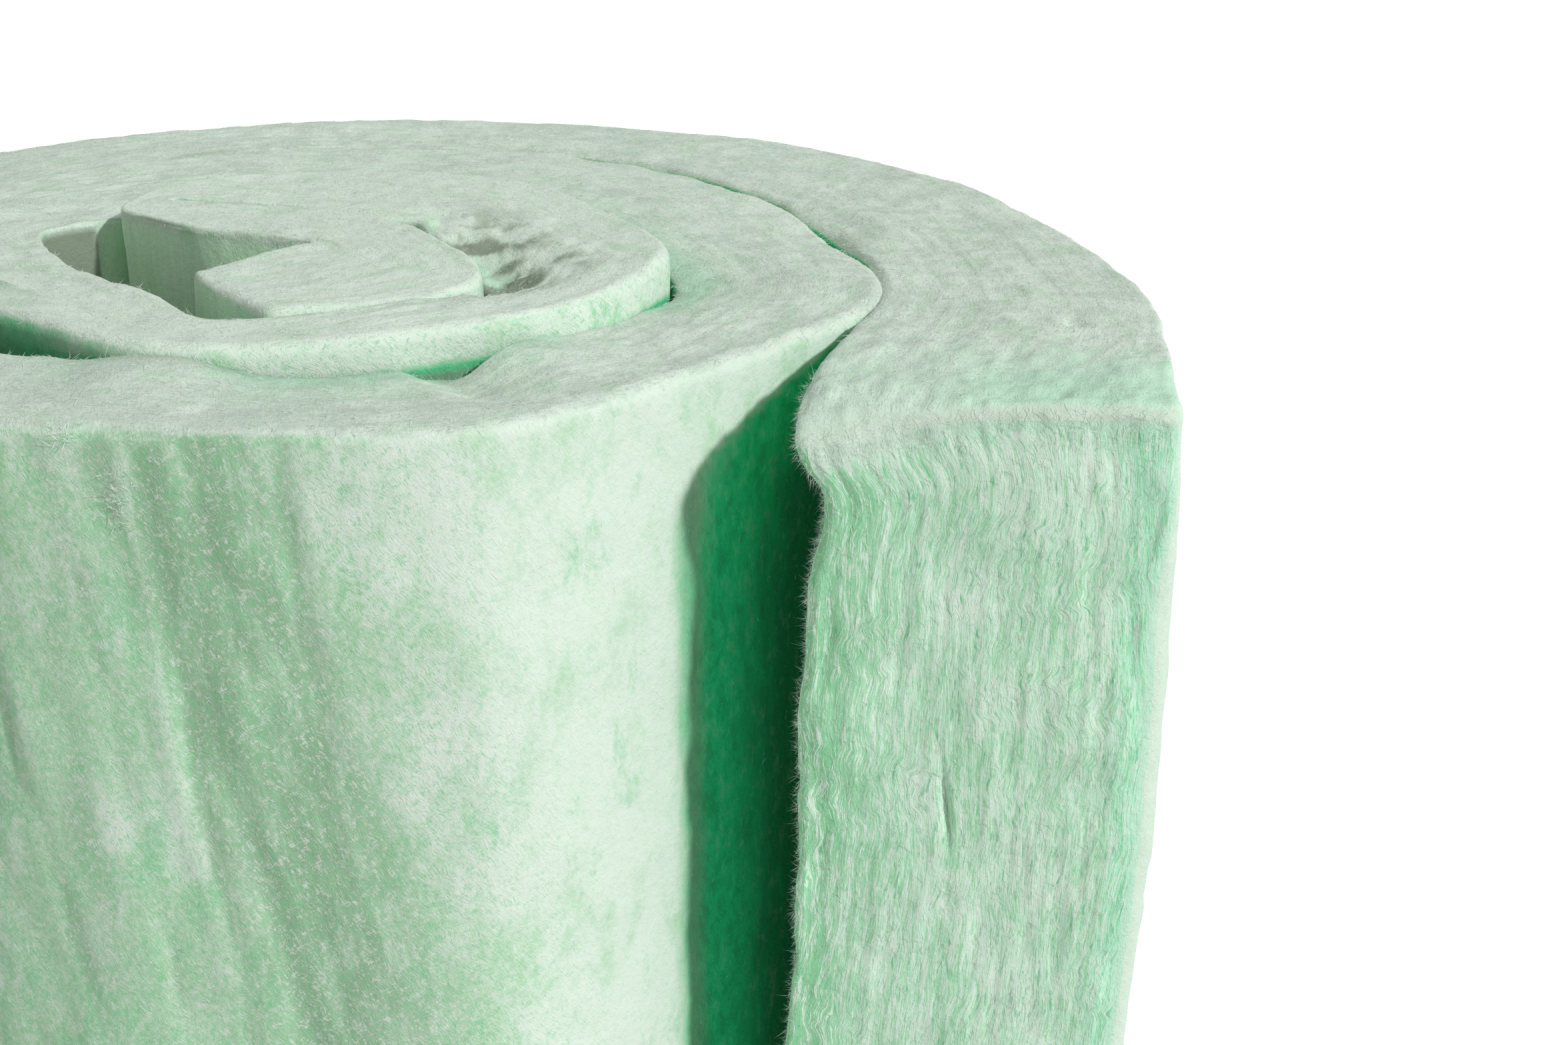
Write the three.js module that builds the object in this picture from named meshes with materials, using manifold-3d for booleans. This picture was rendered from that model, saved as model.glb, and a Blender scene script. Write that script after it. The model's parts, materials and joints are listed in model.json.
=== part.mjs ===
// Insulation blanket: one strip of soft polyester-fibre batt, loosely rolled and stood on a side edge.
// Millimetres, +Z up. The free outer end is at the front right and its cut face looks along -Y.
// Seen from above, the strip starts in a folded core and winds outwards clockwise.
import * as THREE from "three";
import { mergeVertices } from "three/addons/utils/BufferGeometryUtils.js";
import Module from "manifold-3d";

// Driving dimensions, mm
const blanketWidth = 580; // the strip's width, which is the height of the roll's core
const loft = 90; // the strip's thickness where nothing squeezes it
const seam = 1.2; // width of the groove between turns that lie against each other
const grooveDepth = 6; // how deep that groove is at the roll's two ends
const settle = 9; // how far the outer turns have sunk below the core
const freeRun = 81; // straight stretch from the last turn to the free end
const endLoft = 93; // thickness at the cut end, which has fluffed out

// Angles, degrees, counter-clockwise from +X about the roll's axis; outwards along the strip they fall.
const noseAngle = 160; // the fold where the core turns over into the first turn
const secondTurnAngle = noseAngle - 360; // from here on each turn lies on the one before it
const settleStart = -100; // the strip sinks between these two angles
const settleEnd = -260;
const lastTurnAngle = -740; // here the strip leaves the roll
const freeRunAngle = -100; // direction of the straight stretch, a little back towards the roll
const endFaceAngle = -3; // direction of the cut end, from its inner to its outer corner

// The strip's length is divided into steps, and both of its faces have a point at each.
const stepAngle = 7.5; // degrees for each step of a turn
const hollowSteps = 14; // steps beside the hollow at the left of the core
const slitInSteps = 13; // steps along the slit's near side
const firstTurnSteps = (noseAngle - secondTurnAngle) / stepAngle;
const foldSteps = firstTurnSteps - hollowSteps;

const smooth = (points, steps) => new THREE.SplineCurve(points).getSpacedPoints(steps);

// A point of the folded core, given in lofts, because a thicker blanket makes larger folds.
const fold = (x, y) => new THREE.Vector2(x, y).multiplyScalar(loft);

function polar(degrees, radius) {
  const angle = THREE.MathUtils.degToRad(degrees);
  return new THREE.Vector2(Math.cos(angle), Math.sin(angle)).multiplyScalar(radius);
}

// A smooth function of the angle through [angle, value] pairs.
function profile(pairs) {
  const rising = pairs.toReversed();
  const angles = rising.map(([angle]) => angle);
  const values = rising.map(([, value]) => value);
  const curve = new THREE.CubicInterpolant(angles, values, 1);
  return (angle) => curve.evaluate(angle)[0];
}

// The first turn's outer radius, in lofts: round behind, drawn out to a blunt tip at the front right.
const firstTurn = profile([
  [160, 1.0],
  [145, 1.03],
  [130, 0.98],
  [110, 0.86],
  [90, 0.78],
  [50, 0.77],
  [30, 0.79],
  [10, 0.87],
  [-5, 0.98],
  [-20, 1.12],
  [-35, 1.18],
  [-50, 1.25],
  [-70, 1.34],
  [-90, 1.45],
  [-105, 1.48],
  [-120, 1.46],
  [-140, 1.5],
  [-160, 1.59],
  [-180, 1.7],
  [-200, 1.77],
]);

// How much of its loft the strip keeps where it lies on the turn before: least at the front.
const kept = profile([
  [-200, 0.75],
  [-230, 0.83],
  [-250, 0.9],
  [-270, 0.88],
  [-310, 0.82],
  [-350, 0.74],
  [-380, 0.69],
  [-410, 0.53],
  [-430, 0.56],
  [-450, 0.48],
  [-470, 0.47],
  [-500, 0.57],
  [-540, 0.63],
  [-606, 0.61],
  [-650, 0.69],
  [-700, 0.8],
  [-740, 0.88],
]);

// The outer face at an angle. The inner face lies on the turn before, a seam away from it.
function outerRadius(angle) {
  if (angle >= secondTurnAngle) return loft * firstTurn(angle);
  return innerRadius(angle) + loft * kept(angle);
}

function innerRadius(angle) {
  return outerRadius(angle + 360) + seam;
}

const outerFace = (angles) => angles.map((angle) => polar(angle, outerRadius(angle)));
const innerFace = (angles) => angles.map((angle) => polar(angle, innerRadius(angle)));
const topOf = (angle) =>
  blanketWidth - settle * THREE.MathUtils.smoothstep(-angle, -settleStart, -settleEnd);

function anglesBetween(from, to) {
  const steps = Math.round((from - to) / stepAngle);
  return Array.from({ length: steps + 1 }, (_, i) => THREE.MathUtils.lerp(from, to, i / steps));
}

// The same run of points moved sideways, to the right of the way it goes.
function beside(points, distance) {
  return points.map((point, i) => {
    const before = points[Math.max(i - 1, 0)];
    const after = points[Math.min(i + 1, points.length - 1)];
    const along = after.clone().sub(before).normalize();
    return new THREE.Vector2(along.y, -along.x).multiplyScalar(distance).add(point);
  });
}

// The core is the strip's inner end, doubled back on itself. This face lines the open slit in it,
// from the strip's end in to the slit's closed end, and out again to the nose.
const slitFace = [
  ...smooth([fold(-0.47, -0.64), fold(-0.29, -0.42), fold(-0.16, -0.27)], slitInSteps - 1),
  ...smooth(
    [fold(-0.17, -0.25), fold(-0.37, -0.17), fold(-0.62, -0.06), fold(-0.94, 0.2)],
    foldSteps - slitInSteps,
  ),
];

// This face is the outside of the fold, from the strip's end to the pinch behind the nose.
const foldFace = smooth(
  [
    fold(-0.12, -1.11),
    fold(0.12, -1.02),
    fold(0.34, -0.91),
    fold(0.47, -0.75),
    fold(0.43, -0.53),
    fold(0.31, -0.3),
    fold(0.13, -0.03),
    fold(-0.17, 0.19),
    fold(-0.5, 0.3),
    fold(-0.76, 0.34),
  ],
  foldSteps,
);

// The first turn's inner face comes back along the fold, then bounds the hollow.
const wrapFace = beside(foldFace, seam).toReversed();
const hollowFace = smooth(
  [
    wrapFace.at(-1),
    fold(-0.3, -1.1),
    fold(-0.52, -0.87),
    fold(-0.7, -0.68),
    fold(-0.9, -0.43),
    fold(-1.07, -0.09),
    fold(-1.11, 0.14),
    polar(noseAngle, innerRadius(secondTurnAngle)),
  ],
  hollowSteps,
).slice(1);

// The straight run leaves the last turn and fluffs out to the cut end.
const leaveRadius = (innerRadius(lastTurnAngle) + outerRadius(lastTurnAngle)) / 2;
const end = polar(lastTurnAngle, leaveRadius).add(polar(freeRunAngle, freeRun));
const halfEnd = polar(endFaceAngle, endLoft / 2);

// Both faces of the whole strip and its top edge, step by step, from the core to the free end.
const firstAngles = anglesBetween(noseAngle, secondTurnAngle);
const laterAngles = anglesBetween(secondTurnAngle, lastTurnAngle).slice(1);
const outward = [
  ...slitFace,
  ...outerFace([...firstAngles, ...laterAngles]),
  end.clone().add(halfEnd),
];
const inward = [
  ...foldFace,
  ...wrapFace,
  ...hollowFace,
  ...innerFace(laterAngles),
  end.clone().sub(halfEnd),
];
const tops = [
  ...slitFace.map(() => blanketWidth),
  ...firstAngles.map(topOf),
  ...laterAngles.map(topOf),
  topOf(lastTurnAngle),
];

// The roll stands centred on the origin.
const middle = new THREE.Box2().setFromPoints([...outward, ...inward]).getCenter(new THREE.Vector2());

// Booleans need one closed mesh with shared corners.
const wasm = await Module();
wasm.setup();

function solidOf(geometry) {
  geometry.deleteAttribute("normal");
  geometry.deleteAttribute("uv");
  const merged = mergeVertices(geometry, 1e-4);
  const vertProperties = merged.getAttribute("position").array;
  const triVerts = new Uint32Array(merged.index.array);
  return new wasm.Manifold(new wasm.Mesh({ numProp: 3, vertProperties, triVerts }));
}

function geometryOf(solid) {
  const { vertProperties, triVerts } = solid.getMesh();
  const geometry = new THREE.BufferGeometry();
  geometry.setAttribute("position", new THREE.BufferAttribute(vertProperties, 3));
  geometry.setIndex(new THREE.BufferAttribute(triVerts, 1));
  geometry.computeVertexNormals();
  return geometry;
}

// A long box, one segment a step, with its corners moved onto two faces, a floor and a top edge.
function bentBox(left, right, floor, top) {
  const steps = top.length - 1;
  const geometry = new THREE.BoxGeometry(steps, 2, 2, steps, 1, 1);
  const position = geometry.getAttribute("position");
  for (let i = 0; i < position.count; i++) {
    const step = Math.round(position.getX(i) + steps / 2);
    const { x, y } = (position.getY(i) > 0 ? left : right)[step].clone().sub(middle);
    position.setXYZ(i, x, y, position.getZ(i) > 0 ? top[step] : floor);
  }
  return solidOf(geometry);
}

// Turns that lie against each other cling, so a web joins them across the seam and a little into
// both turns. It stops short of the roll's ends, where the seam stays open as a groove.
function web(left, right, top) {
  const intoLeft = beside(left, -seam);
  const intoRight = beside(right, seam);
  return bentBox(intoLeft, intoRight, grooveDepth, top.map((height) => height - grooveDepth));
}

const seamAngles = [secondTurnAngle, ...laterAngles];
const earlierAngles = seamAngles.map((angle) => angle + 360);
const blanketSolid = bentBox(outward, inward, 0, tops)
  .add(web(wrapFace, foldFace.toReversed(), wrapFace.map(() => blanketWidth)))
  .add(web(innerFace(seamAngles), outerFace(earlierAngles), seamAngles.map(topOf)));

const fibre = new THREE.MeshStandardMaterial({ color: 0xb9dcc2, roughness: 1, metalness: 0 });
const blanket = new THREE.Mesh(geometryOf(blanketSolid), fibre);
blanket.name = "insulation_blanket";

const roll = new THREE.Group();
roll.add(blanket);
export default roll;
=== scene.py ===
# %% [markdown]
# # A rolled insulation blanket
# The object is one long strip of soft polyester-fibre batt, rolled up loosely and stood on its cut side
# edge. A batt has no cover and no core: it is thousands of thin fibre layers, lightly bonded. Its two faces
# look like felt, and its cut edges show the layers. This lesson builds the strip as one closed surface
# worked out with numpy, gives it a layered fibre finish, and adds the loose fibres that stand off it.

import json
import math

import bmesh
import bpy
import numpy as np
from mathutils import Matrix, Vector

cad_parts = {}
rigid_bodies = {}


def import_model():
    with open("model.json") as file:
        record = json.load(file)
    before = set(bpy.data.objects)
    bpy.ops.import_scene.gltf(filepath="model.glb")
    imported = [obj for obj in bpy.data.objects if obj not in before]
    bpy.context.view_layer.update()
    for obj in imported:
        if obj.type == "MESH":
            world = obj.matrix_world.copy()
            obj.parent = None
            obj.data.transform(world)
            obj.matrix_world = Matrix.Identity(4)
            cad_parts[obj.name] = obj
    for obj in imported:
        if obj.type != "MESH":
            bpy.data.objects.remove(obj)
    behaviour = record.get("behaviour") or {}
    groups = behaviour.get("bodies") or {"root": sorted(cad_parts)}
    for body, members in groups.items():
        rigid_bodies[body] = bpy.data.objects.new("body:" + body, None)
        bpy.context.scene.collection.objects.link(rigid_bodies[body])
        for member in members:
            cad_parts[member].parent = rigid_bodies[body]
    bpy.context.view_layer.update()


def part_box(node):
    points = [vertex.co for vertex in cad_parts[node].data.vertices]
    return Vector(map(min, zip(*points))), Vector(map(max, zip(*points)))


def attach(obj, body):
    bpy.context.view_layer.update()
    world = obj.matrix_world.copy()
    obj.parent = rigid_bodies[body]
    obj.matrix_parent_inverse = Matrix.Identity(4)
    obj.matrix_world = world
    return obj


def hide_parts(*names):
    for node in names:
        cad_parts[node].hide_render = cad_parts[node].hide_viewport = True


for leftover in list(bpy.data.objects):
    bpy.data.objects.remove(leftover)
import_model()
blanket_low, blanket_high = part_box("insulation_blanket")

# %% [markdown]
# ## Camera, lamps and floor
# They come first, so that every later step can be looked at. The camera stands in front of the free end, a
# little above the roll, and looks down on it. One small, fairly hard lamp from the right draws the shadow
# beside the free end, and an even pale world fills the rest. Area lamps would do as well, but a sun's
# light is the same everywhere, so nothing changes when the roll is looked at from another side. The floor
# and the world show as white, and the floor keeps a shadow.

# %% Camera
camera_place = (0.117, -0.678, 0.7425)
camera_tilt_down = math.radians(21.7)
camera_data = bpy.data.cameras.new("camera")
camera_data.lens = 50
camera_data.sensor_width = 36
camera = bpy.data.objects.new("camera", camera_data)
camera.location = camera_place
camera.rotation_euler = (math.pi / 2 - camera_tilt_down, 0, 0)
bpy.context.scene.collection.objects.link(camera)
bpy.context.scene.camera = camera
print("camera, m:", camera_place, " looks down by, degrees:", round(math.degrees(camera_tilt_down), 1))

# %% Lamp
key_data = bpy.data.lights.new("key_lamp", "SUN")
key_data.energy = 2.4
key_data.angle = math.radians(3.5)
key = bpy.data.objects.new("key_lamp", key_data)
towards_lamp = np.array([0.688, -0.441, 0.576])
key.rotation_euler = (
    math.acos(towards_lamp[2] / np.linalg.norm(towards_lamp)),
    0,
    math.atan2(towards_lamp[1], towards_lamp[0]) + math.pi / 2,
)
bpy.context.scene.collection.objects.link(key)
print("lamp height above the horizon, degrees:", round(math.degrees(math.asin(towards_lamp[2])), 1))

# %% World
world = bpy.data.worlds.new("studio")
bpy.context.scene.world = world
world.use_nodes = True
world_nodes = world.node_tree.nodes
world_links = world.node_tree.links
world_nodes.clear()


def background(colour, strength):
    """An even background of one colour."""
    node = world_nodes.new("ShaderNodeBackground")
    node.inputs["Color"].default_value = colour
    node.inputs["Strength"].default_value = strength
    return node.outputs[0]


fill_light = background((0.98, 1.0, 0.96, 1), 0.45)
seen_white = background((1, 1, 1, 1), 1.0)
light_path = world_nodes.new("ShaderNodeLightPath")
choose = world_nodes.new("ShaderNodeMixShader")
world_out = world_nodes.new("ShaderNodeOutputWorld")
world_links.new(light_path.outputs["Is Camera Ray"], choose.inputs[0])
world_links.new(fill_light, choose.inputs[1])
world_links.new(seen_white, choose.inputs[2])
world_links.new(choose.outputs[0], world_out.inputs["Surface"])
bpy.context.scene.view_settings.view_transform = "Standard"
print("nodes in the world:", len(world_nodes))


# %% Floor
def plain_floor(half_side, height):
    """A square of one face at a height, centred on the origin."""
    corners = [(-half_side, -half_side, height), (half_side, -half_side, height)]
    corners += [(half_side, half_side, height), (-half_side, half_side, height)]
    mesh = bpy.data.meshes.new("floor")
    mesh.from_pydata(corners, [], [(0, 1, 2, 3)])
    floor_object = bpy.data.objects.new("floor", mesh)
    bpy.context.scene.collection.objects.link(floor_object)
    return floor_object


def floor_finish():
    """Plain white where the lamp reaches, and pale grey in the shadow."""
    material = bpy.data.materials.new("floor_white")
    material.use_nodes = True
    nodes = material.node_tree.nodes
    links = material.node_tree.links
    nodes.clear()
    matt = nodes.new("ShaderNodeBsdfDiffuse")
    matt.inputs["Color"].default_value = (0.8, 0.8, 0.8, 1)
    glow = nodes.new("ShaderNodeEmission")
    glow.inputs["Color"].default_value = (1, 1, 1, 1)
    glow.inputs["Strength"].default_value = 0.45
    lifted = nodes.new("ShaderNodeAddShader")
    path = nodes.new("ShaderNodeLightPath")
    mix = nodes.new("ShaderNodeMixShader")
    output = nodes.new("ShaderNodeOutputMaterial")
    links.new(matt.outputs[0], lifted.inputs[0])
    links.new(glow.outputs[0], lifted.inputs[1])
    links.new(path.outputs["Is Camera Ray"], mix.inputs[0])
    links.new(matt.outputs[0], mix.inputs[1])
    links.new(lifted.outputs[0], mix.inputs[2])
    links.new(mix.outputs[0], output.inputs["Surface"])
    return material


floor = plain_floor(half_side=60.0, height=blanket_low[2])
floor.data.materials.append(floor_finish())
print("floor at height, m:", blanket_low[2])

# %% [markdown]
# ## The roll's plan
# Seen from above, the strip starts at the roll's middle with its end doubled back on itself. The fold
# turns over at a nose, the first turn goes round it, and two more turns lie on that one until the strip
# leaves the roll at the front right. A spiral curve with one thickness would be quick, but far too even:
# the real batt is squeezed thinner where it is pulled round a bend. So each face of the strip is a line of
# its own in plan. The outer faces are given as radii at angles, in lofts, and each later turn's inner face
# lies on the turn before, so the whole spiral grows outwards from the core.

# %% Sizes of the strip
loft = 0.090  # the strip's thickness where nothing squeezes it
seam = 0.0005  # between turns that cling to each other
settle = 0.009  # how far the outer turns have sunk below the core
free_run = 0.081  # straight stretch up to the free end
end_loft = 0.093  # thickness at the fluffed-out cut end
print("thickness of the strip, mm:", round(1000 * loft), " and of its cut end:", round(1000 * end_loft))

# %% Angles and steps along the strip
nose_angle = 160  # degrees about the roll's axis, which fall outwards along the strip
second_turn_angle = nose_angle - 360
last_turn_angle = -740  # where the strip leaves the roll
free_run_angle = -100  # the way the straight stretch goes
end_face_angle = -3  # the way from the cut end's inner corner to its outer one
step_angle = 7.5  # degrees of a turn for each step along the strip
first_turn_steps = (nose_angle - second_turn_angle) / step_angle
hollow_steps = 14  # beside the hollow
slit_in_steps = 13  # along the slit's near side
fold_steps = first_turn_steps - hollow_steps
print("steps of the first turn and of the fold:", first_turn_steps, fold_steps)


# %% Smooth lines through a few points
def profile(*pairs):
    """A smooth function through (angle, value) pairs. Between two pairs it is a cubic, and its slope at a
    pair is the mean of the straight slopes on that pair's two sides."""
    angle, value = np.array(pairs[::-1], float).T
    secant = np.diff(value) / np.diff(angle)
    slope = np.concatenate([[0], (secant[1:] + secant[:-1]) / 2, [0]])

    def at(wanted):
        """The function's value at an angle, or at many."""
        left = np.clip(np.searchsorted(angle, wanted) - 1, 0, len(angle) - 2)
        span = angle[left + 1] - angle[left]
        p = (wanted - angle[left]) / span
        ease = p * p * (3 - 2 * p)
        bend = span * p * (1 - p) * ((1 - p) * slope[left] - p * slope[left + 1])
        return value[left] * (1 - ease) + value[left + 1] * ease + bend

    return at


def even_curve(points, count):
    """A Catmull-Rom curve through the points, as count points at equal distances along it."""
    points = np.array(points, float)
    last = len(points) - 1
    t = np.linspace(0, last, 60 * last + 1)
    i = np.minimum(t.astype(int), last - 1)
    f = (t - i)[:, None]
    before, a, b, after = (points[np.clip(i + k, 0, last)] for k in (-1, 0, 1, 2))
    leave, arrive = (b - before) / 2, (after - a) / 2
    dense = a + f * leave + f**2 * (3 * (b - a) - 2 * leave - arrive) + f**3 * (2 * (a - b) + leave + arrive)
    along = np.concatenate([[0], np.cumsum(np.linalg.norm(np.diff(dense, axis=0), axis=1))])
    even = np.linspace(0, along[-1], count)
    return np.stack([np.interp(even, along, dense[:, k]) for k in (0, 1)], axis=1)


def polar(degrees, radius):
    """Plan points at a radius and an angle about the roll's axis."""
    angle = np.radians(degrees)
    return np.stack([np.cos(angle) * radius, np.sin(angle) * radius], axis=-1)


# %% The faces of the turns
first_turn = profile(
    (160, 1.0), (145, 1.03), (130, 0.98), (110, 0.86), (90, 0.78), (50, 0.77), (30, 0.79),
    (10, 0.87), (-5, 0.98), (-20, 1.12), (-35, 1.18), (-50, 1.25), (-70, 1.34), (-90, 1.45),
    (-105, 1.48), (-120, 1.46), (-140, 1.5), (-160, 1.59), (-180, 1.7), (-200, 1.77),
)  # fmt: skip
kept = profile(
    (-200, 0.75), (-230, 0.83), (-250, 0.9), (-270, 0.88), (-310, 0.82), (-350, 0.74),
    (-380, 0.69), (-410, 0.53), (-430, 0.56), (-450, 0.48), (-470, 0.47), (-500, 0.57),
    (-540, 0.63), (-606, 0.61), (-650, 0.69), (-700, 0.8), (-740, 0.88),
)  # fmt: skip


def outer_radius(angle):
    """The first turn's own outline, and outside it the turn before plus what the strip keeps of its
    loft."""
    lying_on = np.where(angle < second_turn_angle, angle, second_turn_angle)
    deeper = lying_on + 360
    below = first_turn(np.minimum(deeper, nose_angle)) * loft
    if np.any(deeper < second_turn_angle):
        below = np.where(deeper < second_turn_angle, outer_radius(deeper), below)
    return np.where(angle < second_turn_angle, below + seam + kept(lying_on) * loft, first_turn(angle) * loft)


def inner_radius(angle):
    """A later turn's inner face lies on the outer face of the turn before."""
    return outer_radius(angle + 360) + seam


fine = 10  # points for each step, before they are spread evenly
first_angles = np.linspace(nose_angle, second_turn_angle, int(first_turn_steps * fine) + 1)
later_steps = (second_turn_angle - last_turn_angle) / step_angle
later_angles = np.linspace(second_turn_angle, last_turn_angle, int(later_steps * fine) + 1)[1:]
print("outer radius of each turn at the front, mm:", (outer_radius(np.array([-90, -450])) * 1000).round(1))


# %% The folded core and the free end
def beside(points, distance):
    """The same line moved sideways, to the right of the way it goes."""
    along = np.gradient(points, axis=0)
    along /= np.linalg.norm(along, axis=1)[:, None]
    return points + distance * np.stack([along[:, 1], -along[:, 0]], axis=1)


def fold(*points):
    """Points of the core, given in lofts."""
    return np.array(points) * loft


slit_in = even_curve(fold((-0.47, -0.64), (-0.29, -0.42), (-0.16, -0.27)), (slit_in_steps - 1) * fine + 1)
slit_out = even_curve(
    fold((-0.17, -0.25), (-0.37, -0.17), (-0.62, -0.06), (-0.94, 0.2)),
    int(fold_steps - slit_in_steps) * fine + 1,
)
fold_face = even_curve(
    fold(
        (-0.12, -1.11), (0.12, -1.02), (0.34, -0.91), (0.47, -0.75), (0.43, -0.53), (0.31, -0.3),
        (0.13, -0.03), (-0.17, 0.19), (-0.5, 0.3), (-0.76, 0.34),
    ),
    int(fold_steps) * fine + 1,
)  # fmt: skip
wrap_face = beside(fold_face, seam)[::-1]
hollow_end = polar(nose_angle, inner_radius(np.array([second_turn_angle]))[0])
hollow_face = even_curve(
    [
        wrap_face[-1],
        *fold((-0.3, -1.1), (-0.52, -0.87), (-0.7, -0.68), (-0.9, -0.43), (-1.07, -0.09), (-1.11, 0.14)),
        hollow_end,
    ],
    hollow_steps * fine + 1,
)
leave_radius = (inner_radius(np.array([last_turn_angle])) + outer_radius(np.array([last_turn_angle])))[0] / 2
end_middle = polar(last_turn_angle, leave_radius) + polar(free_run_angle, free_run)
end_half = polar(end_face_angle, end_loft / 2)
fold_length = np.linalg.norm(np.diff(fold_face, axis=0), axis=1).sum()
print("length of the fold's outside, mm:", round(1000 * fold_length))

# %% [markdown]
# ## Stations along the strip
# A curve with a bevel would sweep one profile along the strip, but here both the thickness and the height
# change on the way. So the strip is cut into stations. A station is one cross-section: a point on each
# face, the top's height and the distance from the strip's inner end. Both faces are first laid out with
# many points in step with each other. Then the stations are spread so that neighbours are equally far
# apart on whichever face is longer there.

# %% Lay out both faces
joint_step = fold_steps + 1  # where the fold ends and the first turn's outer face starts
turns_step = joint_step + first_turn_steps
later_turn_steps = turns_step + (second_turn_angle - later_angles) / step_angle
end_step = turns_step + later_steps + 2
left_steps = np.concatenate([
    np.linspace(0, slit_in_steps - 1, len(slit_in)),
    np.linspace(slit_in_steps, fold_steps, len(slit_out)),
    np.linspace(joint_step, turns_step, len(first_angles)),
    later_turn_steps,
    [end_step],
])
left_points = np.concatenate([
    slit_in, slit_out,
    polar(first_angles, outer_radius(first_angles)),
    polar(later_angles, outer_radius(later_angles)),
    [end_middle + end_half],
])  # fmt: skip
right_steps = np.concatenate([
    np.linspace(0, fold_steps, len(fold_face)),
    np.linspace(joint_step, joint_step + fold_steps, len(wrap_face)),
    np.linspace(joint_step + fold_steps, turns_step, len(hollow_face))[1:],
    later_turn_steps,
    [end_step],
])
right_points = np.concatenate([
    fold_face, wrap_face, hollow_face[1:],
    polar(later_angles, inner_radius(later_angles)),
    [end_middle - end_half],
])  # fmt: skip
lowest = np.minimum(left_points.min(axis=0), right_points.min(axis=0))
highest = np.maximum(left_points.max(axis=0), right_points.max(axis=0))
print("plan, mm:", ((highest - lowest) * 1000).round(1))
print("CAD plan, mm:", [round(1000 * (blanket_high[k] - blanket_low[k]), 1) for k in (0, 1)])


# %% Spread the stations
def at_steps(wanted, steps, points):
    """Points at wanted steps, straight between the given ones."""
    return np.stack([np.interp(wanted, steps, points[:, k]) for k in (0, 1)], axis=1)


def spread(count, tries=12000):
    """Steps of count stations, at equal distances along the longer of the two faces."""
    dense = np.linspace(0, end_step, tries)
    faces = ((left_steps, left_points), (right_steps, right_points))
    hops = [np.linalg.norm(np.diff(at_steps(dense, *face), axis=0), axis=1) for face in faces]
    along = np.concatenate([[0], np.cumsum(np.maximum(*hops))])
    return np.interp(np.linspace(0, along[-1], count), along, dense), along[-1]


def rounded(points, reach):
    """The line with its corners softened: a running mean whose ends stay where they are."""
    weight = np.hanning(2 * reach + 3)[1:-1]
    weight /= weight.sum()
    ends = 2 * points[[0, -1]]
    padded = np.concatenate([ends[0] - points[reach:0:-1], points, ends[1] - points[-2 : -reach - 2 : -1]])
    return np.stack([np.convolve(padded[:, k], weight, "valid") for k in (0, 1)], axis=1)


even_stations, strip_length = spread(count=1050)
last_stretch = even_stations[-1] - even_stations[-5]
closer_at_start = even_stations[3] * (1 - np.cos(np.linspace(0, math.pi / 2, 6)))
closer_at_end = even_stations[-5] + last_stretch * np.sin(np.linspace(0, math.pi / 2, 9))
stations = np.concatenate([closer_at_start, even_stations[4:-5], closer_at_end])
roll_middle = (lowest + highest) / 2
outer_plan = rounded(at_steps(stations, left_steps, left_points), reach=3) - roll_middle
inner_plan = rounded(at_steps(stations, right_steps, right_points), reach=3) - roll_middle
turn_angle = nose_angle - (stations - joint_step) * step_angle  # over 160 inside the fold
print("stations:", len(stations), " strip, mm:", round(strip_length * 1000))


# %% Where the outer turns have sunk
def smoothstep(value, low, high):
    """0 at low and beyond, 1 at high and beyond, and an even S between them. It falls where low is the
    larger."""
    p = np.clip((value - low) / (high - low), 0, 1)
    return p * p * (3 - 2 * p)


top_height = blanket_high[2] - settle * smoothstep(turn_angle, -100, -260)
station_length = np.concatenate([
    [0],
    np.cumsum(np.linalg.norm(np.diff((outer_plan + inner_plan) / 2, axis=0), axis=1)),
])
print("strip's middle line, mm:", round(1000 * station_length[-1]))


# %% Uneven turns
def smoothed(values, reach):
    """A running mean over neighbouring stations."""
    weight = np.hanning(2 * reach + 3)[1:-1]
    ends = values[:1].repeat(reach, 0), values[-1:].repeat(reach, 0)
    padded = np.concatenate([ends[0], values, ends[1]])
    return sum(w * padded[k : k + len(values)] for k, w in enumerate(weight / weight.sum()))


def along_length(*pairs):
    """A value at every station through (distance along the strip, value) pairs, with soft bends."""
    lengths, values = zip(*pairs)
    return smoothed(np.interp(station_length, lengths, values), reach=5)


bulge = along_length(
    (0.30, 0.0), (0.322, -0.0022), (0.335, -0.004), (0.347, -0.003), (0.365, -0.0015), (0.379, -0.001),
    (0.389, -0.001), (0.413, 0.0025), (0.428, 0.0005), (0.445, -0.002), (0.465, -0.002), (0.479, -0.0025),
    (0.493, 0.001), (0.513, 0.001), (0.536, -0.0025), (0.556, -0.005), (0.60, -0.003), (0.64, 0.0),
    (0.88, 0.0), (0.909, -0.003), (0.938, -0.002), (0.951, -0.0025), (0.967, 0.001), (0.977, 0.002),
    (0.999, -0.001), (1.020, -0.003), (1.036, 0.0), (1.066, 0.002), (1.081, 0.001), (1.107, -0.0015),
    (1.129, 0.0), (1.172, 0.002), (1.201, 0.0045), (1.214, 0.002), (1.242, -0.003), (1.272, -0.003),
    (1.299, 0.0015), (1.34, 0.0), (1.653, 0.0), (1.681, -0.001), (1.722, -0.004), (1.763, 0.0),
    (1.804, -0.002), (1.833, -0.004), (1.865, -0.0075), (1.893, -0.0065), (1.924, -0.0045),
    (1.957, -0.002), (1.995, -0.001), (2.042, -0.003), (2.071, -0.0035), (2.104, -0.002),
    (2.143, 0.0035), (2.159, 0.005), (2.188, 0.004), (2.215, 0.0022), (2.240, 0.0006),
)  # fmt: skip
print("outer side bulges, mm:", (1000 * bulge.min()).round(1), "to", (1000 * bulge.max()).round(1))

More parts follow.
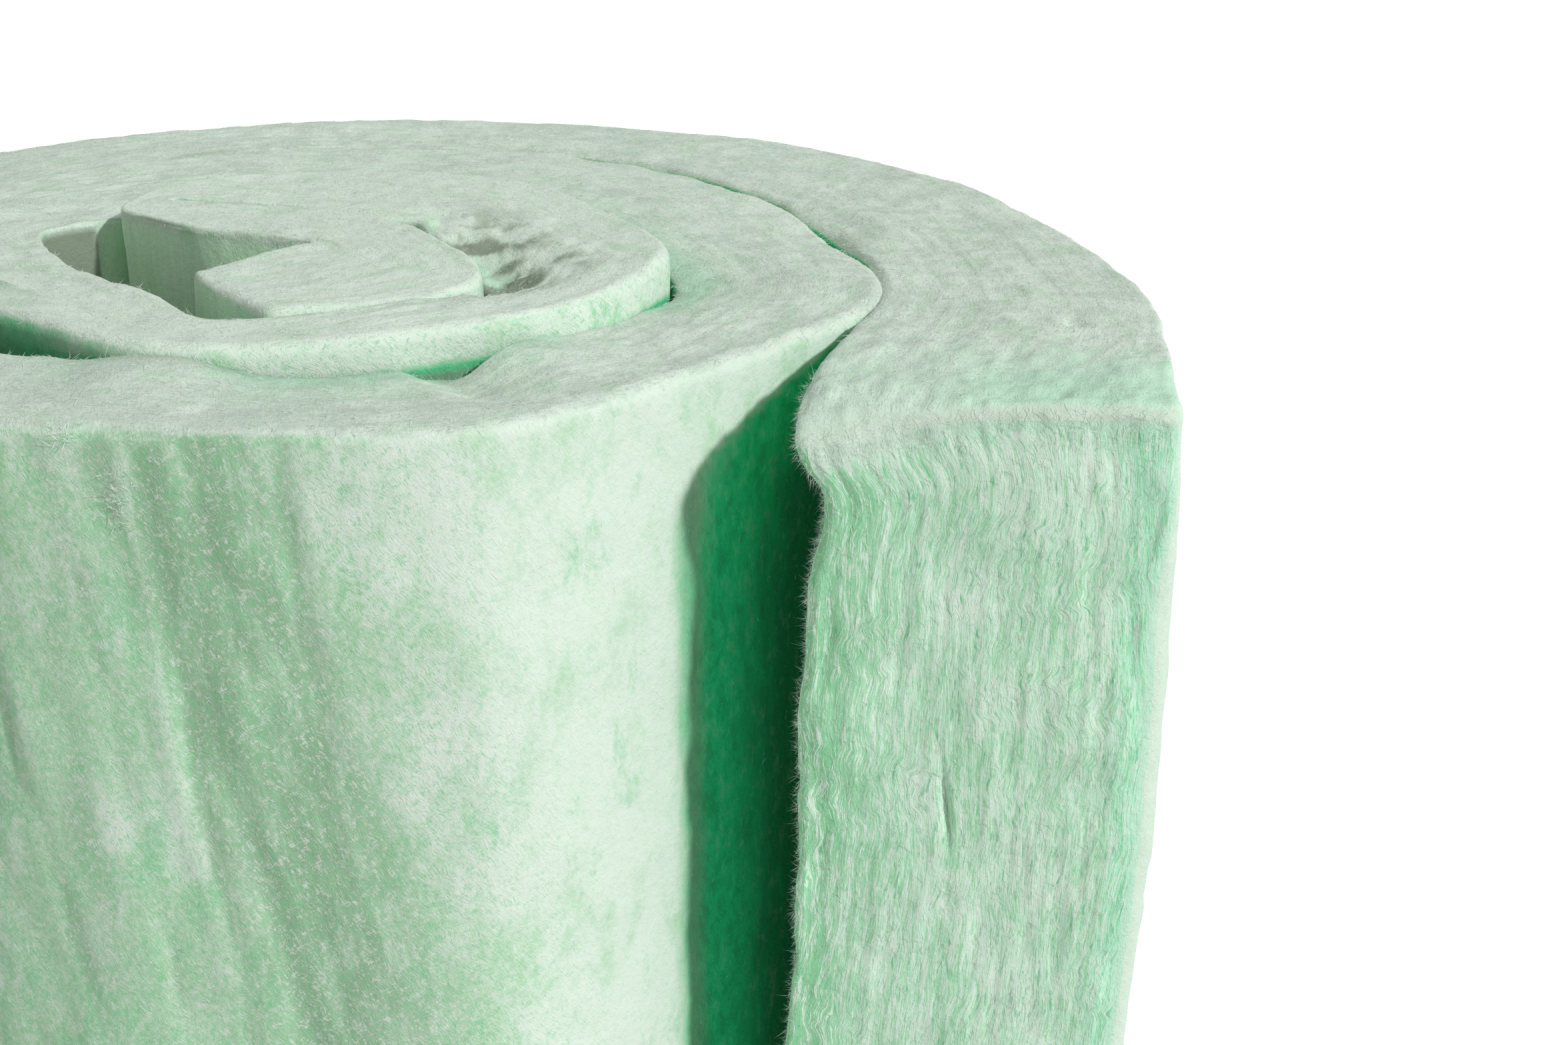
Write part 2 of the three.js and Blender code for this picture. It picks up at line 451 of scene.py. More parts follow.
# %% [markdown]
# ## The cross-section
# Each cross-section is a tall box with soft corners. A Bevel modifier would round them all alike, but the
# batt's edges are sharp where a fold pulls on them and soft elsewhere. So the outline is worked out: up
# the outer face, over the top, down the inner face and back under. All four sides come from one rule: a
# straight side that bends away at both ends through half of a rounded corner. With the same rows at every
# station, the whole skin is a single grid.

# %% One side of the box
arc_rows = 4  # in half a corner
face_rows = 150  # up a face
top_rows = 128  # over the top


def side(length, start_radius, end_radius, shares):
    """Rows along a straight side, as distance along it and how far the skin has bent away from it. At both
    ends a quarter circle leads to the next side, and half of it belongs to this one."""
    angle = np.linspace(math.pi / 4, math.pi / 2, arc_rows + 1)[None]
    start, end = start_radius[:, None], end_radius[:, None]
    straight = start + shares * (length[:, None] - start - end)
    arc_along, arc_inset = 1 - np.cos(angle[:, :-1]), 1 - np.sin(angle[:, :-1])
    along = np.concatenate([start * arc_along, straight, length[:, None] - end * arc_along[:, ::-1]], axis=1)
    inset = np.concatenate([start * arc_inset, 0 * straight, end * arc_inset[:, ::-1]], axis=1)
    return along, inset


# %% Soft corners
def along_strip(*pairs):
    """A value at every station, straight between (turn angle, value) pairs. The angles fall outwards."""
    angles, values = zip(*pairs)
    return np.interp(-turn_angle, [-angle for angle in angles], values)


to_end = station_length[-1] - station_length
outer_corner = along_strip(
    (430, 0.003), (150, 0.002), (60, 0.0015), (0, 0.003), (-40, 0.004), (-140, 0.004), (-190, 0.0012),
    (-280, 0.0012), (-310, 0.0035), (-350, 0.0035), (-395, 0.004), (-740, 0.0035),
)  # fmt: skip
inner_corner = along_strip(
    (430, 0.003), (0, 0.003), (-60, 0.003), (-85, 0.007), (-105, 0.007), (-125, 0.003), (-200, 0.002),
    (-560, 0.002), (-640, 0.002), (-670, 0.004), (-715, 0.003), (-740, 0.004),
)  # fmt: skip
foot_corner = np.full(len(stations), 0.004)
print("soft corners, mm:", (1000 * outer_corner.min()).round(1), "to", (1000 * inner_corner.max()).round(1))


# %% All cross-sections at once
def all_round(*sides):
    """The four sides' rows as one ring. Each side's last row is the next side's first, so it is left
    out."""
    return np.concatenate([rows[:, :-1] for rows in sides], axis=1)


closer_upwards = 1.15  # a power that brings the rows of a face closer together towards its top
thickness = np.linalg.norm(outer_plan - inner_plan, axis=1)
across_direction = (outer_plan - inner_plan) / thickness[:, None]
up_shares = 1 - np.linspace(1, 0, face_rows - 2 * arc_rows + 1) ** closer_upwards
over_shares = np.linspace(0, 1, top_rows - 2 * arc_rows + 1)

up, up_inset = side(top_height, foot_corner, outer_corner, up_shares)
over, over_inset = side(thickness, outer_corner, inner_corner, over_shares)
down, down_inset = side(top_height, inner_corner, foot_corner, 1 - up_shares[::-1])
under, under_inset = side(thickness, foot_corner, foot_corner, over_shares)
wide, tall = thickness[:, None], top_height[:, None]
depth = all_round(wide - up_inset, wide - over, down_inset, under)
height = all_round(up, tall - over_inset, tall - down, under_inset)
ring = depth.shape[1]
first_top_row = face_rows
first_inner_row = face_rows + top_rows
first_bottom_row = 2 * face_rows + top_rows
print("points round a section:", ring, " in the whole skin:", ring * len(stations))


# %% Round off the strip's two ends
def corner_inset(distance, radius):
    """How far a side has bent in, a distance before an end, through a quarter circle of a radius."""
    into = np.clip(radius - distance, 0, None)
    return radius - np.sqrt(radius**2 - into**2)


start_round = 0.003
end_round = 0.003
top_end_round = 0.0032 + 0.0038 * smoothstep(depth, 0.045, 0.005)  # wider towards the inner corner
far_corner_round = 0.0025 + 0.0045 * smoothstep(height, 0.550, 0.520)  # sharper at the outer corner's top
start_inset = corner_inset(station_length[:, None], start_round)
inner_inset = start_inset + corner_inset(to_end[:, None], end_round)
outer_inset = start_inset + corner_inset(to_end[:, None], far_corner_round)
depth = inner_inset + depth * (1 - (inner_inset + outer_inset) / wide)
upper_half = height > 0.3
top_inset = start_inset + corner_inset(to_end[:, None], np.where(upper_half, top_end_round, end_round))
height = height * (1 - top_inset / tall)
print("the free end's corners, mm:", (1000 * far_corner_round.min()).round(1), "to",
      (1000 * top_end_round.max()).round(1))

# %% [markdown]
# ## Dents, gaps and humps
# A soft roll doesn't lie tidily. Its top dips beside a tight turn and humps where a layer is pushed up, a
# seam gapes where the strip kinks, and the free end leans and has a notch. They could be sculpted, but a
# sculpted dent can't be read or moved. Here each is a row in a short table: a bell-shaped change of the
# depth or the height, at a place along the strip, that fades with the distance from the top or from the
# free end.


# %% Bells and stretches
def bell(value, centre, below, above=None):
    """1 at the centre, falling off as a bell: e to the power of minus the square of the distance over the
    width. It may be wider above the centre than below it."""
    width = np.where(value < centre, below, below if above is None else above)
    return np.exp(-(((value - centre) / width) ** 2))


length_along = np.broadcast_to(station_length[:, None], depth.shape)


def stretch(start, full_from, full_until, end):
    """1 from full_from to full_until along the strip, with an S up to it from start and an S down to
    end."""
    return smoothstep(length_along, start, full_from) * smoothstep(length_along, end, full_until)


# %% Shares that the dents are measured in
below_top = np.clip(tall - height, 0, None)
inner_share = np.clip(1 - depth / wide, 0, 1)  # 1 at the inner face
outer_share = np.clip(depth / wide, 0, 1)
at_end = smoothstep(to_end, 0.04, 0)[:, None]
close_to_end = smoothstep(to_end, 0.014, 0)[:, None]
strip_space = np.stack([length_along, depth, height], axis=-1)  # before anything is pushed out of place
free_edge = strip_space[-1, first_top_row : first_inner_row + 1, 1:]
free_end_top = np.interp(strip_space[-1, :, 1], *free_edge[::-1].T)  # the cut end's top above each row
print("stations within 40 mm of the free end:", int((to_end < 0.04).sum()))

# %% Gaps: the strip's inner side stands off the turn it lies on
# Each row: how far it stands off, where, and how far that reaches inwards, outwards and down, all in metres.
gapes = (
    (0.0090, 1.345, 0.030, 0.060, 0.060),
    (0.0065, 1.196, 0.018, 0.004, 0.022),
    (0.0070, 0.283, 0.009, 0.012, 0.020),
    (0.0030, 1.985, 0.022, 0.016, 0.015),
    (0.0030, 0.665, 0.035, 0.030, 0.080),
    (-0.0018, 1.915, 0.045, 0.045, 0.030),
)
gap = 0
for stands_off, place, inwards, outwards, down in gapes:
    gap = gap + stands_off * bell(length_along, place, inwards, outwards) * bell(below_top, 0, down)
gap = gap - 0.0030 * bell(to_end[:, None], 0.030, 0.030) * bell(below_top, 0, 0.025)
notch = 0.0065 * bell(height, 0.5426, 0.016, 0.010) + 0.0025 * bell(height, 0.512, 0.03)
depth = depth + inner_share**1.5 * (gap + notch * at_end)
print("the inner side stands off by up to, mm:", (1000 * gap.max()).round(1))

# %% The outer side's bulges, and its flare at the top of the free end
flare = at_end * (0.0021 - 0.0010 * smoothstep(height, 0.530, 0.555))
depth = depth + outer_share * bulge[:, None]
depth = depth + outer_share**2 * flare
print("flare, mm:", (1000 * flare.max()).round(1))


# %% The top's dips and humps
def near_line(along, across, start, end):
    """Distance from a straight line between two places of the strip's top, and which side of it a point is
    on."""
    line = np.subtract(end, start)
    reach = np.hypot(*line)
    share = np.clip(((along - start[0]) * line[0] + (across - start[1]) * line[1]) / reach**2, 0, 1)
    offset = np.stack([along - start[0] - share * line[0], across - start[1] - share * line[1]])
    return np.hypot(*offset), np.sign((along - start[0]) * line[1] - (across - start[1]) * line[0])


crease, crease_side = near_line(length_along, depth, (1.204, 0.0), (1.190, 0.036))
# Each row: its height, its place, and how far it reaches inwards and outwards along the strip.
humps = (
    (0.0025, 1.172, 0.018, 0.018),
    (0.0070, 1.282, 0.026, 0.024),
    (0.0040, 1.340, 0.030, 0.050),
)
# Each row: how deep it is, its place and reach along the strip, then its distance from the inner face and its
# reach towards that face and away from it.
dips = (
    (0.0040, 1.070, 0.045, 0.0, 0.012, 0.012),
    (0.0035, 2.020, 0.050, 0.0, 0.012, 0.012),
    (0.0085, 0.350, 0.045, 0.006, 0.020, 0.016),
    (0.0020, 2.158, 0.003, 0.058, 0.003, 0.003),
)
rise = -0.0042 * bell(crease, 0, np.where(crease_side > 0, 0.006, 0.014)) * inner_share**0.7
for up_by, place, inwards, outwards in humps:
    rise += up_by * bell(length_along, place, inwards, outwards) * inner_share
for down_by, place, reach, from_inner, nearer, farther in dips:
    rise -= down_by * bell(length_along, place, reach) * bell(depth, from_inner, nearer, farther)
rise -= 0.0030 * bell(length_along, 1.000, 0.030) * bell(outer_share, 1.0, 0.25)
rise -= 0.0040 * close_to_end * bell(depth, 0.0, 0.030)
height = height + rise * smoothstep(height, 0.54, 0.57)
print("top's rise, mm:", (1000 * rise.min()).round(1), "to", (1000 * rise.max()).round(1))

# %% Place every point
lean = 0.0045 * smoothstep(height, 0.46, 0.36) * smoothstep(to_end, 0.16, 0.02)[:, None]  # of the free end
skin = np.empty((len(stations), ring, 3))
skin[..., :2] = inner_plan[:, None] + across_direction[:, None] * depth[..., None]
skin[..., 2] = height
skin[..., 0] -= lean
print("the free end leans by, mm:", (1000 * lean.max()).round(1))

# %% [markdown]
# ## Noise
# Fluff, lumps and layers all come from smooth random fields. Blender's own textures could displace the
# mesh, but only along one direction and in the roll's space, while a field in numpy can be read anywhere,
# also in the space of the strip. A field is a box of random numbers from a fixed seed, repeated without
# end, and a place in it takes a smooth blend of the eight numbers around it.


# %% Smooth random fields
def field(places, size, seed):
    """Smooth noise from -1 to 1 at places, whose lumps are about size across; size may differ by axis."""
    table = np.random.default_rng(seed).uniform(-1, 1, (32, 32, 32))
    cell = np.asarray(places) / np.asarray(size)
    low = np.floor(cell).astype(int)
    p = cell - low
    p = p * p * p * (p * (6 * p - 15) + 10)
    total = 0
    for corner_of_cell in np.ndindex(2, 2, 2):
        share = np.prod(np.where(corner_of_cell, p, 1 - p), axis=-1)
        x, y, z = ((low[..., k] + corner_of_cell[k]) % 32 for k in range(3))
        total = total + share * table[x, y, z]
    return total


def rough_field(places, size, seed, octaves=3):
    """Noise with finer noise on it: each octave is half the size and half the strength of the one
    before."""
    return sum(field(places, np.asarray(size) / 2**k, seed + k) / 2**k for k in range(octaves))


# %% [markdown]
# ## Strip space
# The batt's layers follow the strip, so its pattern is worked out in the strip's own space: the distance
# along it, the depth from its inner face, and the height, all as they were before the dents and gaps. Where
# the strip bends or is pushed aside, the pattern goes with it. The skin keeps this space as an attribute for
# the finish to use. A slow, wavy shift of the depth crinkles the layers.

# %% Crinkled layers
def crinkled(space):
    """Strip space with its layers made wavy: the depth shifts by up to a few millimetres."""
    slow = 0.0020 * field(space, (0.05, 0.06, 0.060), 11)
    quick = 0.0006 * field(space, (0.02, 0.02, 0.014), 12)
    wavy = space.copy()
    wavy[..., 1] += slow + quick
    return wavy


layer_space = crinkled(strip_space)
print("layers shift by up to, mm:", (1000 * np.abs(layer_space - strip_space).max()).round(1))

# %% [markdown]
# ## How open each place is
# Deep between two turns the fibres look a strong green, because the light there has passed through other
# fibres, while open faces look pale. Light inside a volume would show that, but it is slow, and it doesn't
# export. So it is painted instead: each place is told how much of its surroundings is open, and the finish
# paints shade, a darker and stronger green, where little is open. As all the walls are upright, the open
# share can be worked out in plan: lines are sent out from each station to find the nearest other wall. That
# wall hides the view up to its top, so the open share falls off with depth below the top.

# %% Walls in plan
rows_down = 8  # the walls are taken this many rows below the top's corners
every_few = 4  # stations between the points of a wall
outer_line = skin[:, first_top_row - rows_down, :2]
inner_line = skin[:, first_inner_row + rows_down, :2]
outer_top = skin[:, first_top_row, 2]
inner_top = skin[:, first_inner_row, 2]
wall_start = np.concatenate([
    outer_line[::every_few], outer_line[-1:], inner_line[-1:], inner_line[::-every_few],
])  # fmt: skip
wall_tops = np.concatenate([
    outer_top[::every_few], outer_top[-1:], inner_top[-1:], inner_top[::-every_few],
])  # fmt: skip
wall_end = np.roll(wall_start, -1, axis=0)
look_count = 72
look_angles = np.linspace(0, 2 * math.pi, look_count, endpoint=False)
looks = np.stack([np.cos(look_angles), np.sin(look_angles)], axis=1)
far_away = 9.0  # m, for a look that meets no wall
print("walls:", len(wall_start), " looks from each station:", len(looks))


# %% Nearest walls
def cross(a, b):
    """The plan cross product."""
    return a[..., 0] * b[..., 1] - a[..., 1] * b[..., 0]


def nearest_walls(points, facing):
    """For each point and each look: the distance to the nearest wall, that wall's top, and the look's
    weight, which is the cosine between the look and the way the point faces. Looks into the wall itself
    weigh nothing."""
    starts = points + facing * 0.0002  # just clear of the wall itself
    side_step = wall_end - wall_start
    distance = np.full((len(points), len(looks)), far_away)
    tops = np.zeros_like(distance)
    for k, look in enumerate(looks):
        apart = wall_start[None] - starts[:, None]
        crossing = cross(look, side_step)[None]
        crossing = np.where(np.abs(crossing) < 1e-12, 1e-12, crossing)
        reach = cross(apart, side_step[None]) / crossing
        share = cross(apart, look) / crossing
        reach = np.where((share >= 0) & (share <= 1) & (reach > 0), reach, far_away)
        nearest = reach.argmin(axis=1)
        distance[:, k] = reach[np.arange(len(points)), nearest]
        tops[:, k] = wall_tops[nearest]
    weight = np.clip(facing @ looks.T, 0, None)
    return distance, tops, weight / weight.sum(axis=1, keepdims=True)


def plan_normals(points, away_from):
    """Unit normals of a face's line in plan, on the side away from the other face."""
    along = np.gradient(points, axis=0)
    normals = np.stack([along[:, 1], -along[:, 0]], axis=1)
    normals /= np.linalg.norm(normals, axis=1)[:, None]
    flip = np.sign(np.sum(normals * (points - away_from), axis=1))
    return normals * np.where(flip == 0, 1, flip)[:, None]


def open_share(distance, tops, weight, heights, inset):
    """The open share, 0 to 1: each look is blocked up to its wall's top, seen from a height and set back a
    little where the skin has bent away from the face."""
    share = 0
    for k in range(len(looks)):
        above = np.clip(tops[:, k, None] - heights, 0, None)
        away = distance[:, k, None] + 2 * inset
        share = share + weight[:, k, None] * (1 - above / np.sqrt(above**2 + away**2 + 1e-9))
    return share


# %% Open share of the whole skin
outer_walls = nearest_walls(outer_line, plan_normals(outer_line, inner_line))
inner_walls = nearest_walls(inner_line, plan_normals(inner_line, outer_line))
on_outer_side = depth > wide / 2
open_outside = open_share(*outer_walls, height, np.clip(wide - depth, 0, None))
open_inside = open_share(*inner_walls, height, np.clip(depth, 0, None))
openness = smoothed(np.where(on_outer_side, open_outside, open_inside), reach=6)
print("mean open share outside and inside:", open_outside.mean().round(2), open_inside.mean().round(2))


# %% Reached by the main light
light_spread = math.radians(16)  # either way in plan


def reached(distance, tops, weight, heights):
    """The share of the main light, spread a little in plan, that gets over the nearest walls."""
    light_angle = math.atan2(towards_lamp[1], towards_lamp[0])
    turn = (look_angles - light_angle + math.pi) % (2 * math.pi) - math.pi
    look_share = np.clip(1 - np.abs(turn) / light_spread, 0, None)
    look_share /= look_share.sum()
    rise_rate = towards_lamp[2] / np.hypot(towards_lamp[0], towards_lamp[1])
    share = 0
    for k in np.flatnonzero(look_share):
        over = heights + distance[:, k, None] * rise_rate - tops[:, k, None]
        share = share + look_share[k] * (weight[:, k, None] > 0) * smoothstep(over, -0.006, 0.001)
    return share


lit = np.where(on_outer_side, reached(*outer_walls, height), reached(*inner_walls, height))
lit = smoothed(lit, reach=2)
# Painted shadow of the main lamp: where it reaches, the colour stays pale, and the painted deep green stays
# in its shadow.
openness = np.maximum(openness, lit)
print("share of the skin that the main light reaches:", lit.mean().round(3))

# %% [markdown]
# ## Light thrown back between walls
# The open share knows nothing of light that passes through the batt or is thrown back between its walls.
# Counting such light would take a second and a third round of looks. So it is set instead: the
# walls of the slit and the hollow are opened up towards the top, and three narrow, deep places are closed
# further: below the sunken first turn, in the gap at the roll's left and in the wedge where the strip
# kinks.

# %% Places where the open share needs help
# Painted light and shade: a higher open share paints light on the upper walls of the slit and the hollow, and
# a lower one paints deeper shade in the three narrow places.
in_slit = on_outer_side * smoothstep(length_along, 0.23, 0.20)
in_hollow = ~on_outer_side * stretch(0.49, 0.53, 0.74, 0.78)
thrown_back = np.clip(1.1 * in_slit + in_hollow, 0, 1) * smoothstep(height, 0.490, 0.545)
openness = openness + (1 - openness) * 0.93 * thrown_back
below_first_turn = on_outer_side * stretch(0.36, 0.40, 0.60, 0.64) * smoothstep(height, 0.5705, 0.567)
openness = openness * (1 - 0.6 * below_first_turn)
left_gap = on_outer_side * bell(length_along, 0.585, 0.060) * smoothstep(height, 0.580, 0.577)
openness = openness * (1 - 0.55 * left_gap)
in_wedge = np.where(on_outer_side, bell(length_along, 0.450, 0.030), bell(length_along, 1.190, 0.030))
in_wedge *= smoothstep(below_top, 0.0095, 0.0125)
openness = openness * (1 - 0.4 * in_wedge)
openness[:, first_bottom_row:] = 1
openness = openness + (1 - openness) * smoothstep(to_end, 0.008, 0)[:, None]
print("open share, least and most:", openness.min().round(3), openness.max().round(3))

# %% [markdown]
# ## Relief
# The felt faces are nearly smooth, with slow swellings and a fine pile. The cut edges are rougher, with
# ridges where bundles of layers end. A bump in the finish would look alike from the front, but the roll's
# outline would stay smooth, so all that is larger than a few tenths of a millimetre is real shape.
# Everything is moved along the skin's normal, and turns keep still where they touch.


# %% Normals of a grid
def grid_normals(points, closed):
    """Unit normals of a grid of points, from the steps to its neighbours in both directions."""
    along = np.gradient(points, axis=0)
    if closed:
        around = np.roll(points, -1, axis=1) - np.roll(points, 1, axis=1)
    else:
        around = np.gradient(points, axis=1)
    normals = np.cross(around, along)
    return normals / np.maximum(np.linalg.norm(normals, axis=-1, keepdims=True), 1e-12)


skin_normals = grid_normals(skin, closed=True)
low_row = 40  # on the outer side, well below the dents
facing_out = np.sum(skin_normals[:, low_row, :2] * across_direction, axis=1)
print("share of stations whose outer side faces out:", np.mean(facing_out > 0).round(3))

# %% Lumps, swells, pile and tufts
free = smoothstep(openness, 0.05, 0.45)
on_top = smoothstep(skin_normals[..., 2], 0.4, 0.9)
on_side = smoothstep(np.abs(skin_normals[..., 2]), 0.5, 0.1)
from_edge = np.minimum(np.clip(wide - depth, 0, None), np.clip(depth, 0, None))
fluffed_out = smoothstep(to_end, 0.10, 0.02)[:, None]
rough_dent = bell(length_along, 0.345, 0.055) * bell(depth, 0.010, 0.020, 0.024)
lumps = 0.0011 * rough_field(skin, 0.050, 21, 3) * (1 - 0.5 * on_top)
swells = 0.0012 * field(strip_space, (0.050, 0.020, 1), 27) * on_top * smoothstep(from_edge, 0, 0.014)
pile = 0.00018 * rough_field(skin, 0.0065, 31, 2)
tufts = (0.00030 + 0.00050 * fluffed_out + 0.0010 * rough_dent) * rough_field(skin, 0.008, 35, 3)
layers = 0.00022 * field(layer_space, (0.030, 0.0030, 0.03), 41)
ragged_edge = 0.0010 * rough_field(skin, 0.012, 38, 3) * close_to_end * inner_share
rough_rim = 0.0007 * rough_field(skin, 0.006, 39, 2) * close_to_end * smoothstep(below_top, 0.012, 0.006)
rough_rim *= smoothstep(to_end, 0.0005, 0.0040)[:, None]
print("tufts, mm:", (1000 * tufts.min()).round(2), "to", (1000 * tufts.max()).round(2))


# %% Folds down the walls
def fold_line(place, leans, half_width, cut, top, bottom):
    """A groove down a wall, with a bell as its profile. It passes its place at half a metre's height, moves
    on along the strip by the share it leans as it climbs, and fades out at its top and its bottom."""
    leaned = length_along - leans * (height - 0.5) + 0.0009 * rough_field(strip_space, (1, 1, 0.024), 63, 2)
    fade = smoothstep(height, bottom - 0.04, bottom) * smoothstep(height, top + 0.007, top)
    return -cut * bell(leaned, place, half_width) * fade


# Each row: its place, how much it leans, its half width, cut, top and bottom.
# With a cut below 0 it stands out.
grooves = (
    (1.2679, 0.075, 0.0016, 0.0011, 0.555, 0.370),
    (1.2722, 0.075, 0.0022, -0.0008, 0.560, 0.450),
    (1.2562, 0.075, 0.0042, 0.0013, 0.5715, 0.542),
    (1.2395, 0.020, 0.0022, 0.0012, 0.5725, 0.540),
    (1.2385, 0.020, 0.0020, 0.0005, 0.545, 0.480),
    (1.3119, 0.150, 0.0024, 0.0010, 0.545, 0.430),
    (1.2630, 0.170, 0.0022, 0.0010, 0.500, 0.380),
    (1.2850, 0.100, 0.0014, 0.0005, 0.530, 0.420),
    (1.2500, 0.140, 0.0018, 0.0006, 0.530, 0.400),
)
leaning = strip_space - np.stack([0.09 * height, 0 * height, 0 * height], axis=-1)
leaning[..., 0] += 0.0025 * field(strip_space, (0.04, 1, 0.045), 64)
folds = 0.0006 * field(leaning, (0.011, 1, 0.070), 61) + 0.0004 * field(leaning, (0.0045, 1, 0.035), 62)
folds = folds * (0.2 + 0.8 * stretch(1.21, 1.26, 1.38, 1.50))
for groove in grooves:
    folds += fold_line(*groove)
lint = bell(length_along, 1.2865, 0.0022) * bell(height, 0.568, 0.0024)
lint += bell(length_along, 1.2755, 0.0026) * bell(height, 0.5520, 0.0055)
lint *= on_outer_side
folds = folds * on_side * (1 - np.clip(lint, 0, 1)) + 0.0008 * lint
print("folds, mm:", (1000 * folds.min()).round(2), "to", (1000 * folds.max()).round(2))

# %% Move the skin
cut_top = (layers + tufts) * on_top
fuzzy_sides = (0.5 * tufts * fluffed_out + ragged_edge) * on_side
relief = (lumps + swells + pile + rough_rim + cut_top + fuzzy_sides + folds) * free
relief[:, first_bottom_row + arc_rows : -arc_rows] = 0  # the edge that it stands on stays flat
skin = skin + skin_normals * relief[..., None]
skin[..., 2] = np.maximum(skin[..., 2], 0)  # nothing sinks into the floor
print("relief, mm:", (1000 * relief.min()).round(2), "to", (1000 * relief.max()).round(2))

# %% [markdown]
# ## Which rows to keep
# Where turns hide each other, the tall faces need only a few rows, so there the grid keeps every fifteenth
# row. The outer wall of the roll keeps them all, or every second one behind, where there are no folds. A
# Decimate modifier would thin the mesh too, but also where the fine relief is seen.

# %% Rows of the hidden stretches
sparse = 15  # rows between the kept ones on a face
coarse = np.zeros(ring, bool)
coarse[: face_rows + 1 : sparse] = True
coarse[face_rows - 10 : face_rows] = True  # the outer face's last rows, below the top
coarse[face_rows : first_inner_row + 1 : 2] = True
coarse[first_inner_row : first_inner_row + 11] = True  # the inner face's first rows
coarse[first_inner_row : first_bottom_row + 1 : sparse] = True
coarse[first_bottom_row::16] = True
start_rows, half_outer, fine_outer, fine_both = (coarse.copy() for _ in range(4))
start_rows[first_bottom_row::2] = True  # as on the start patch
half_outer[0:first_top_row:2] = True
fine_outer[:first_top_row] = True
fine_both[:first_bottom_row] = True
print("rows kept, coarse, half and fine:", coarse.sum(), half_outer.sum(), fine_outer.sum())

# %% Which rows each stretch keeps
first_visible, behind_from, front_again, near_end_from = (
    int(np.searchsorted(-turn_angle, angle)) for angle in (350, 520, 690, 715)
)
stretches = [
    (0, first_visible, coarse),
    (first_visible, behind_from, fine_outer),
    (behind_from, front_again, half_outer),
    (front_again, near_end_from, fine_outer),
    (near_end_from, len(stations) - 1, fine_both),
]
print("stations with a fine outer face:", len(stations) - first_visible)

# %% [markdown]
# ## The strip's two ends
# Each end is a patch that fills the last cross-section. A single face with hundreds of corners would close
# it, but couldn't carry any relief. So the patch is a grid: its four borders are the section's own points,
# and inside it the points are a blend of the borders. The free end is a torn-looking cut: its layers stand
# out in ridges.


# %% Fill a section
def section_patch(values):
    """A grid inside one ring of values: from each pair of facing borders a straight blend, the two blends
    added and the blend of the four corners taken away."""
    outer_side = values[: face_rows + 1]
    over_top = values[face_rows : first_inner_row + 1]
    inner_side = values[first_inner_row : first_bottom_row + 1][::-1]
    below = np.concatenate([values[first_bottom_row:], values[:1]])[::-1]
    v = np.linspace(0, 1, face_rows + 1).reshape(-1, 1, *[1] * (values.ndim - 1))
    u = np.linspace(0, 1, top_rows + 1).reshape(1, -1, *[1] * (values.ndim - 1))
    sides = (1 - u) * outer_side[:, None] + u * inner_side[:, None]
    ends = (1 - v) * below[None] + v * over_top[None]
    corners = (1 - v) * ((1 - u) * below[0] + u * below[-1]) + v * ((1 - u) * over_top[0] + u * over_top[-1])
    return sides + ends - corners


def patch_rows():
    """The ring rows on the patch's border, and -1 inside it, so that the patch shares its border points."""
    rows = np.full((face_rows + 1, top_rows + 1), -1)
    rows[:, 0] = np.arange(face_rows + 1)
    rows[-1] = np.arange(face_rows, first_inner_row + 1)
    rows[:, -1] = np.arange(first_inner_row, first_bottom_row + 1)[::-1]
    rows[0] = np.append(np.arange(first_bottom_row, ring), 0)[::-1]
    return rows


# %% Ridges of the free end
def near_border(shape, reach):
    """1 well inside a patch, falling to 0 at its border over reach points."""
    i, j = np.ogrid[: shape[0], : shape[1]]
    inside = np.minimum(np.minimum(i, shape[0] - 1 - i), np.minimum(j, shape[1] - 1 - j))
    return smoothstep(inside, 0, reach)


nick_height = 0.456  # a short open slit between two layers
nick_from_outer = 0.0535
end_points = section_patch(skin[-1])
end_space = section_patch(strip_space[-1])
end_layers = crinkled(end_space)
end_out = np.append(end_middle - polar(last_turn_angle, leave_radius), 0)
end_out /= np.linalg.norm(end_out)
nick_line = thickness[-1] - nick_from_outer + 0.10 * (nick_height - end_space[..., 2])
nick_line += 0.0010 * field(end_space, 0.012, 54)
nick = bell(end_space[..., 1], nick_line, 0.0008) * bell(end_space[..., 2], nick_height, 0.010)
end_relief = (
    0.0012 * rough_field(end_points, 0.030, 51, 3)
    + 0.00035 * field(end_layers, (1, 0.0042, 0.022), 52)
    + 0.00030 * field(end_layers, (1, 0.0021, 0.011), 53)
    - 0.0024 * nick
)
end_points = end_points + end_out * (end_relief * near_border(end_relief.shape, reach=4))[..., None]
print("cut end's relief, mm:", (1000 * end_relief.min()).round(2), "to", (1000 * end_relief.max()).round(2))

# %% The inner end, on the rows that the skin keeps there
kept_face_rows = np.flatnonzero(coarse[: face_rows + 1])
kept_top_rows = np.arange(0, top_rows + 1, 2)
start_points = section_patch(skin[0])[kept_face_rows][:, kept_top_rows]
start_space = section_patch(strip_space[0])[kept_face_rows][:, kept_top_rows]
print("points of the inner end:", start_points[..., 0].size)

# %% [markdown]
# ## The mesh
# The skin's faces are quads between neighbouring stations and kept rows. Where a fine stretch meets a
# coarse one, the coarse faces take in the fine points on that side, so the skin stays closed. All of it is
# worked out as arrays of point numbers and goes into the mesh at once, which takes a second where a loop
# over faces would take minutes.

# %% Faces of the skin
def strip_faces(first, last, keep):
    """Quads between stations first and last, on the rows that are kept."""
    rows = np.flatnonzero(keep)
    here = np.arange(first, last)[:, None] * ring + rows
    above = np.arange(first, last)[:, None] * ring + np.roll(rows, -1)
    return np.stack([here, above, above + ring, here + ring], axis=-1)


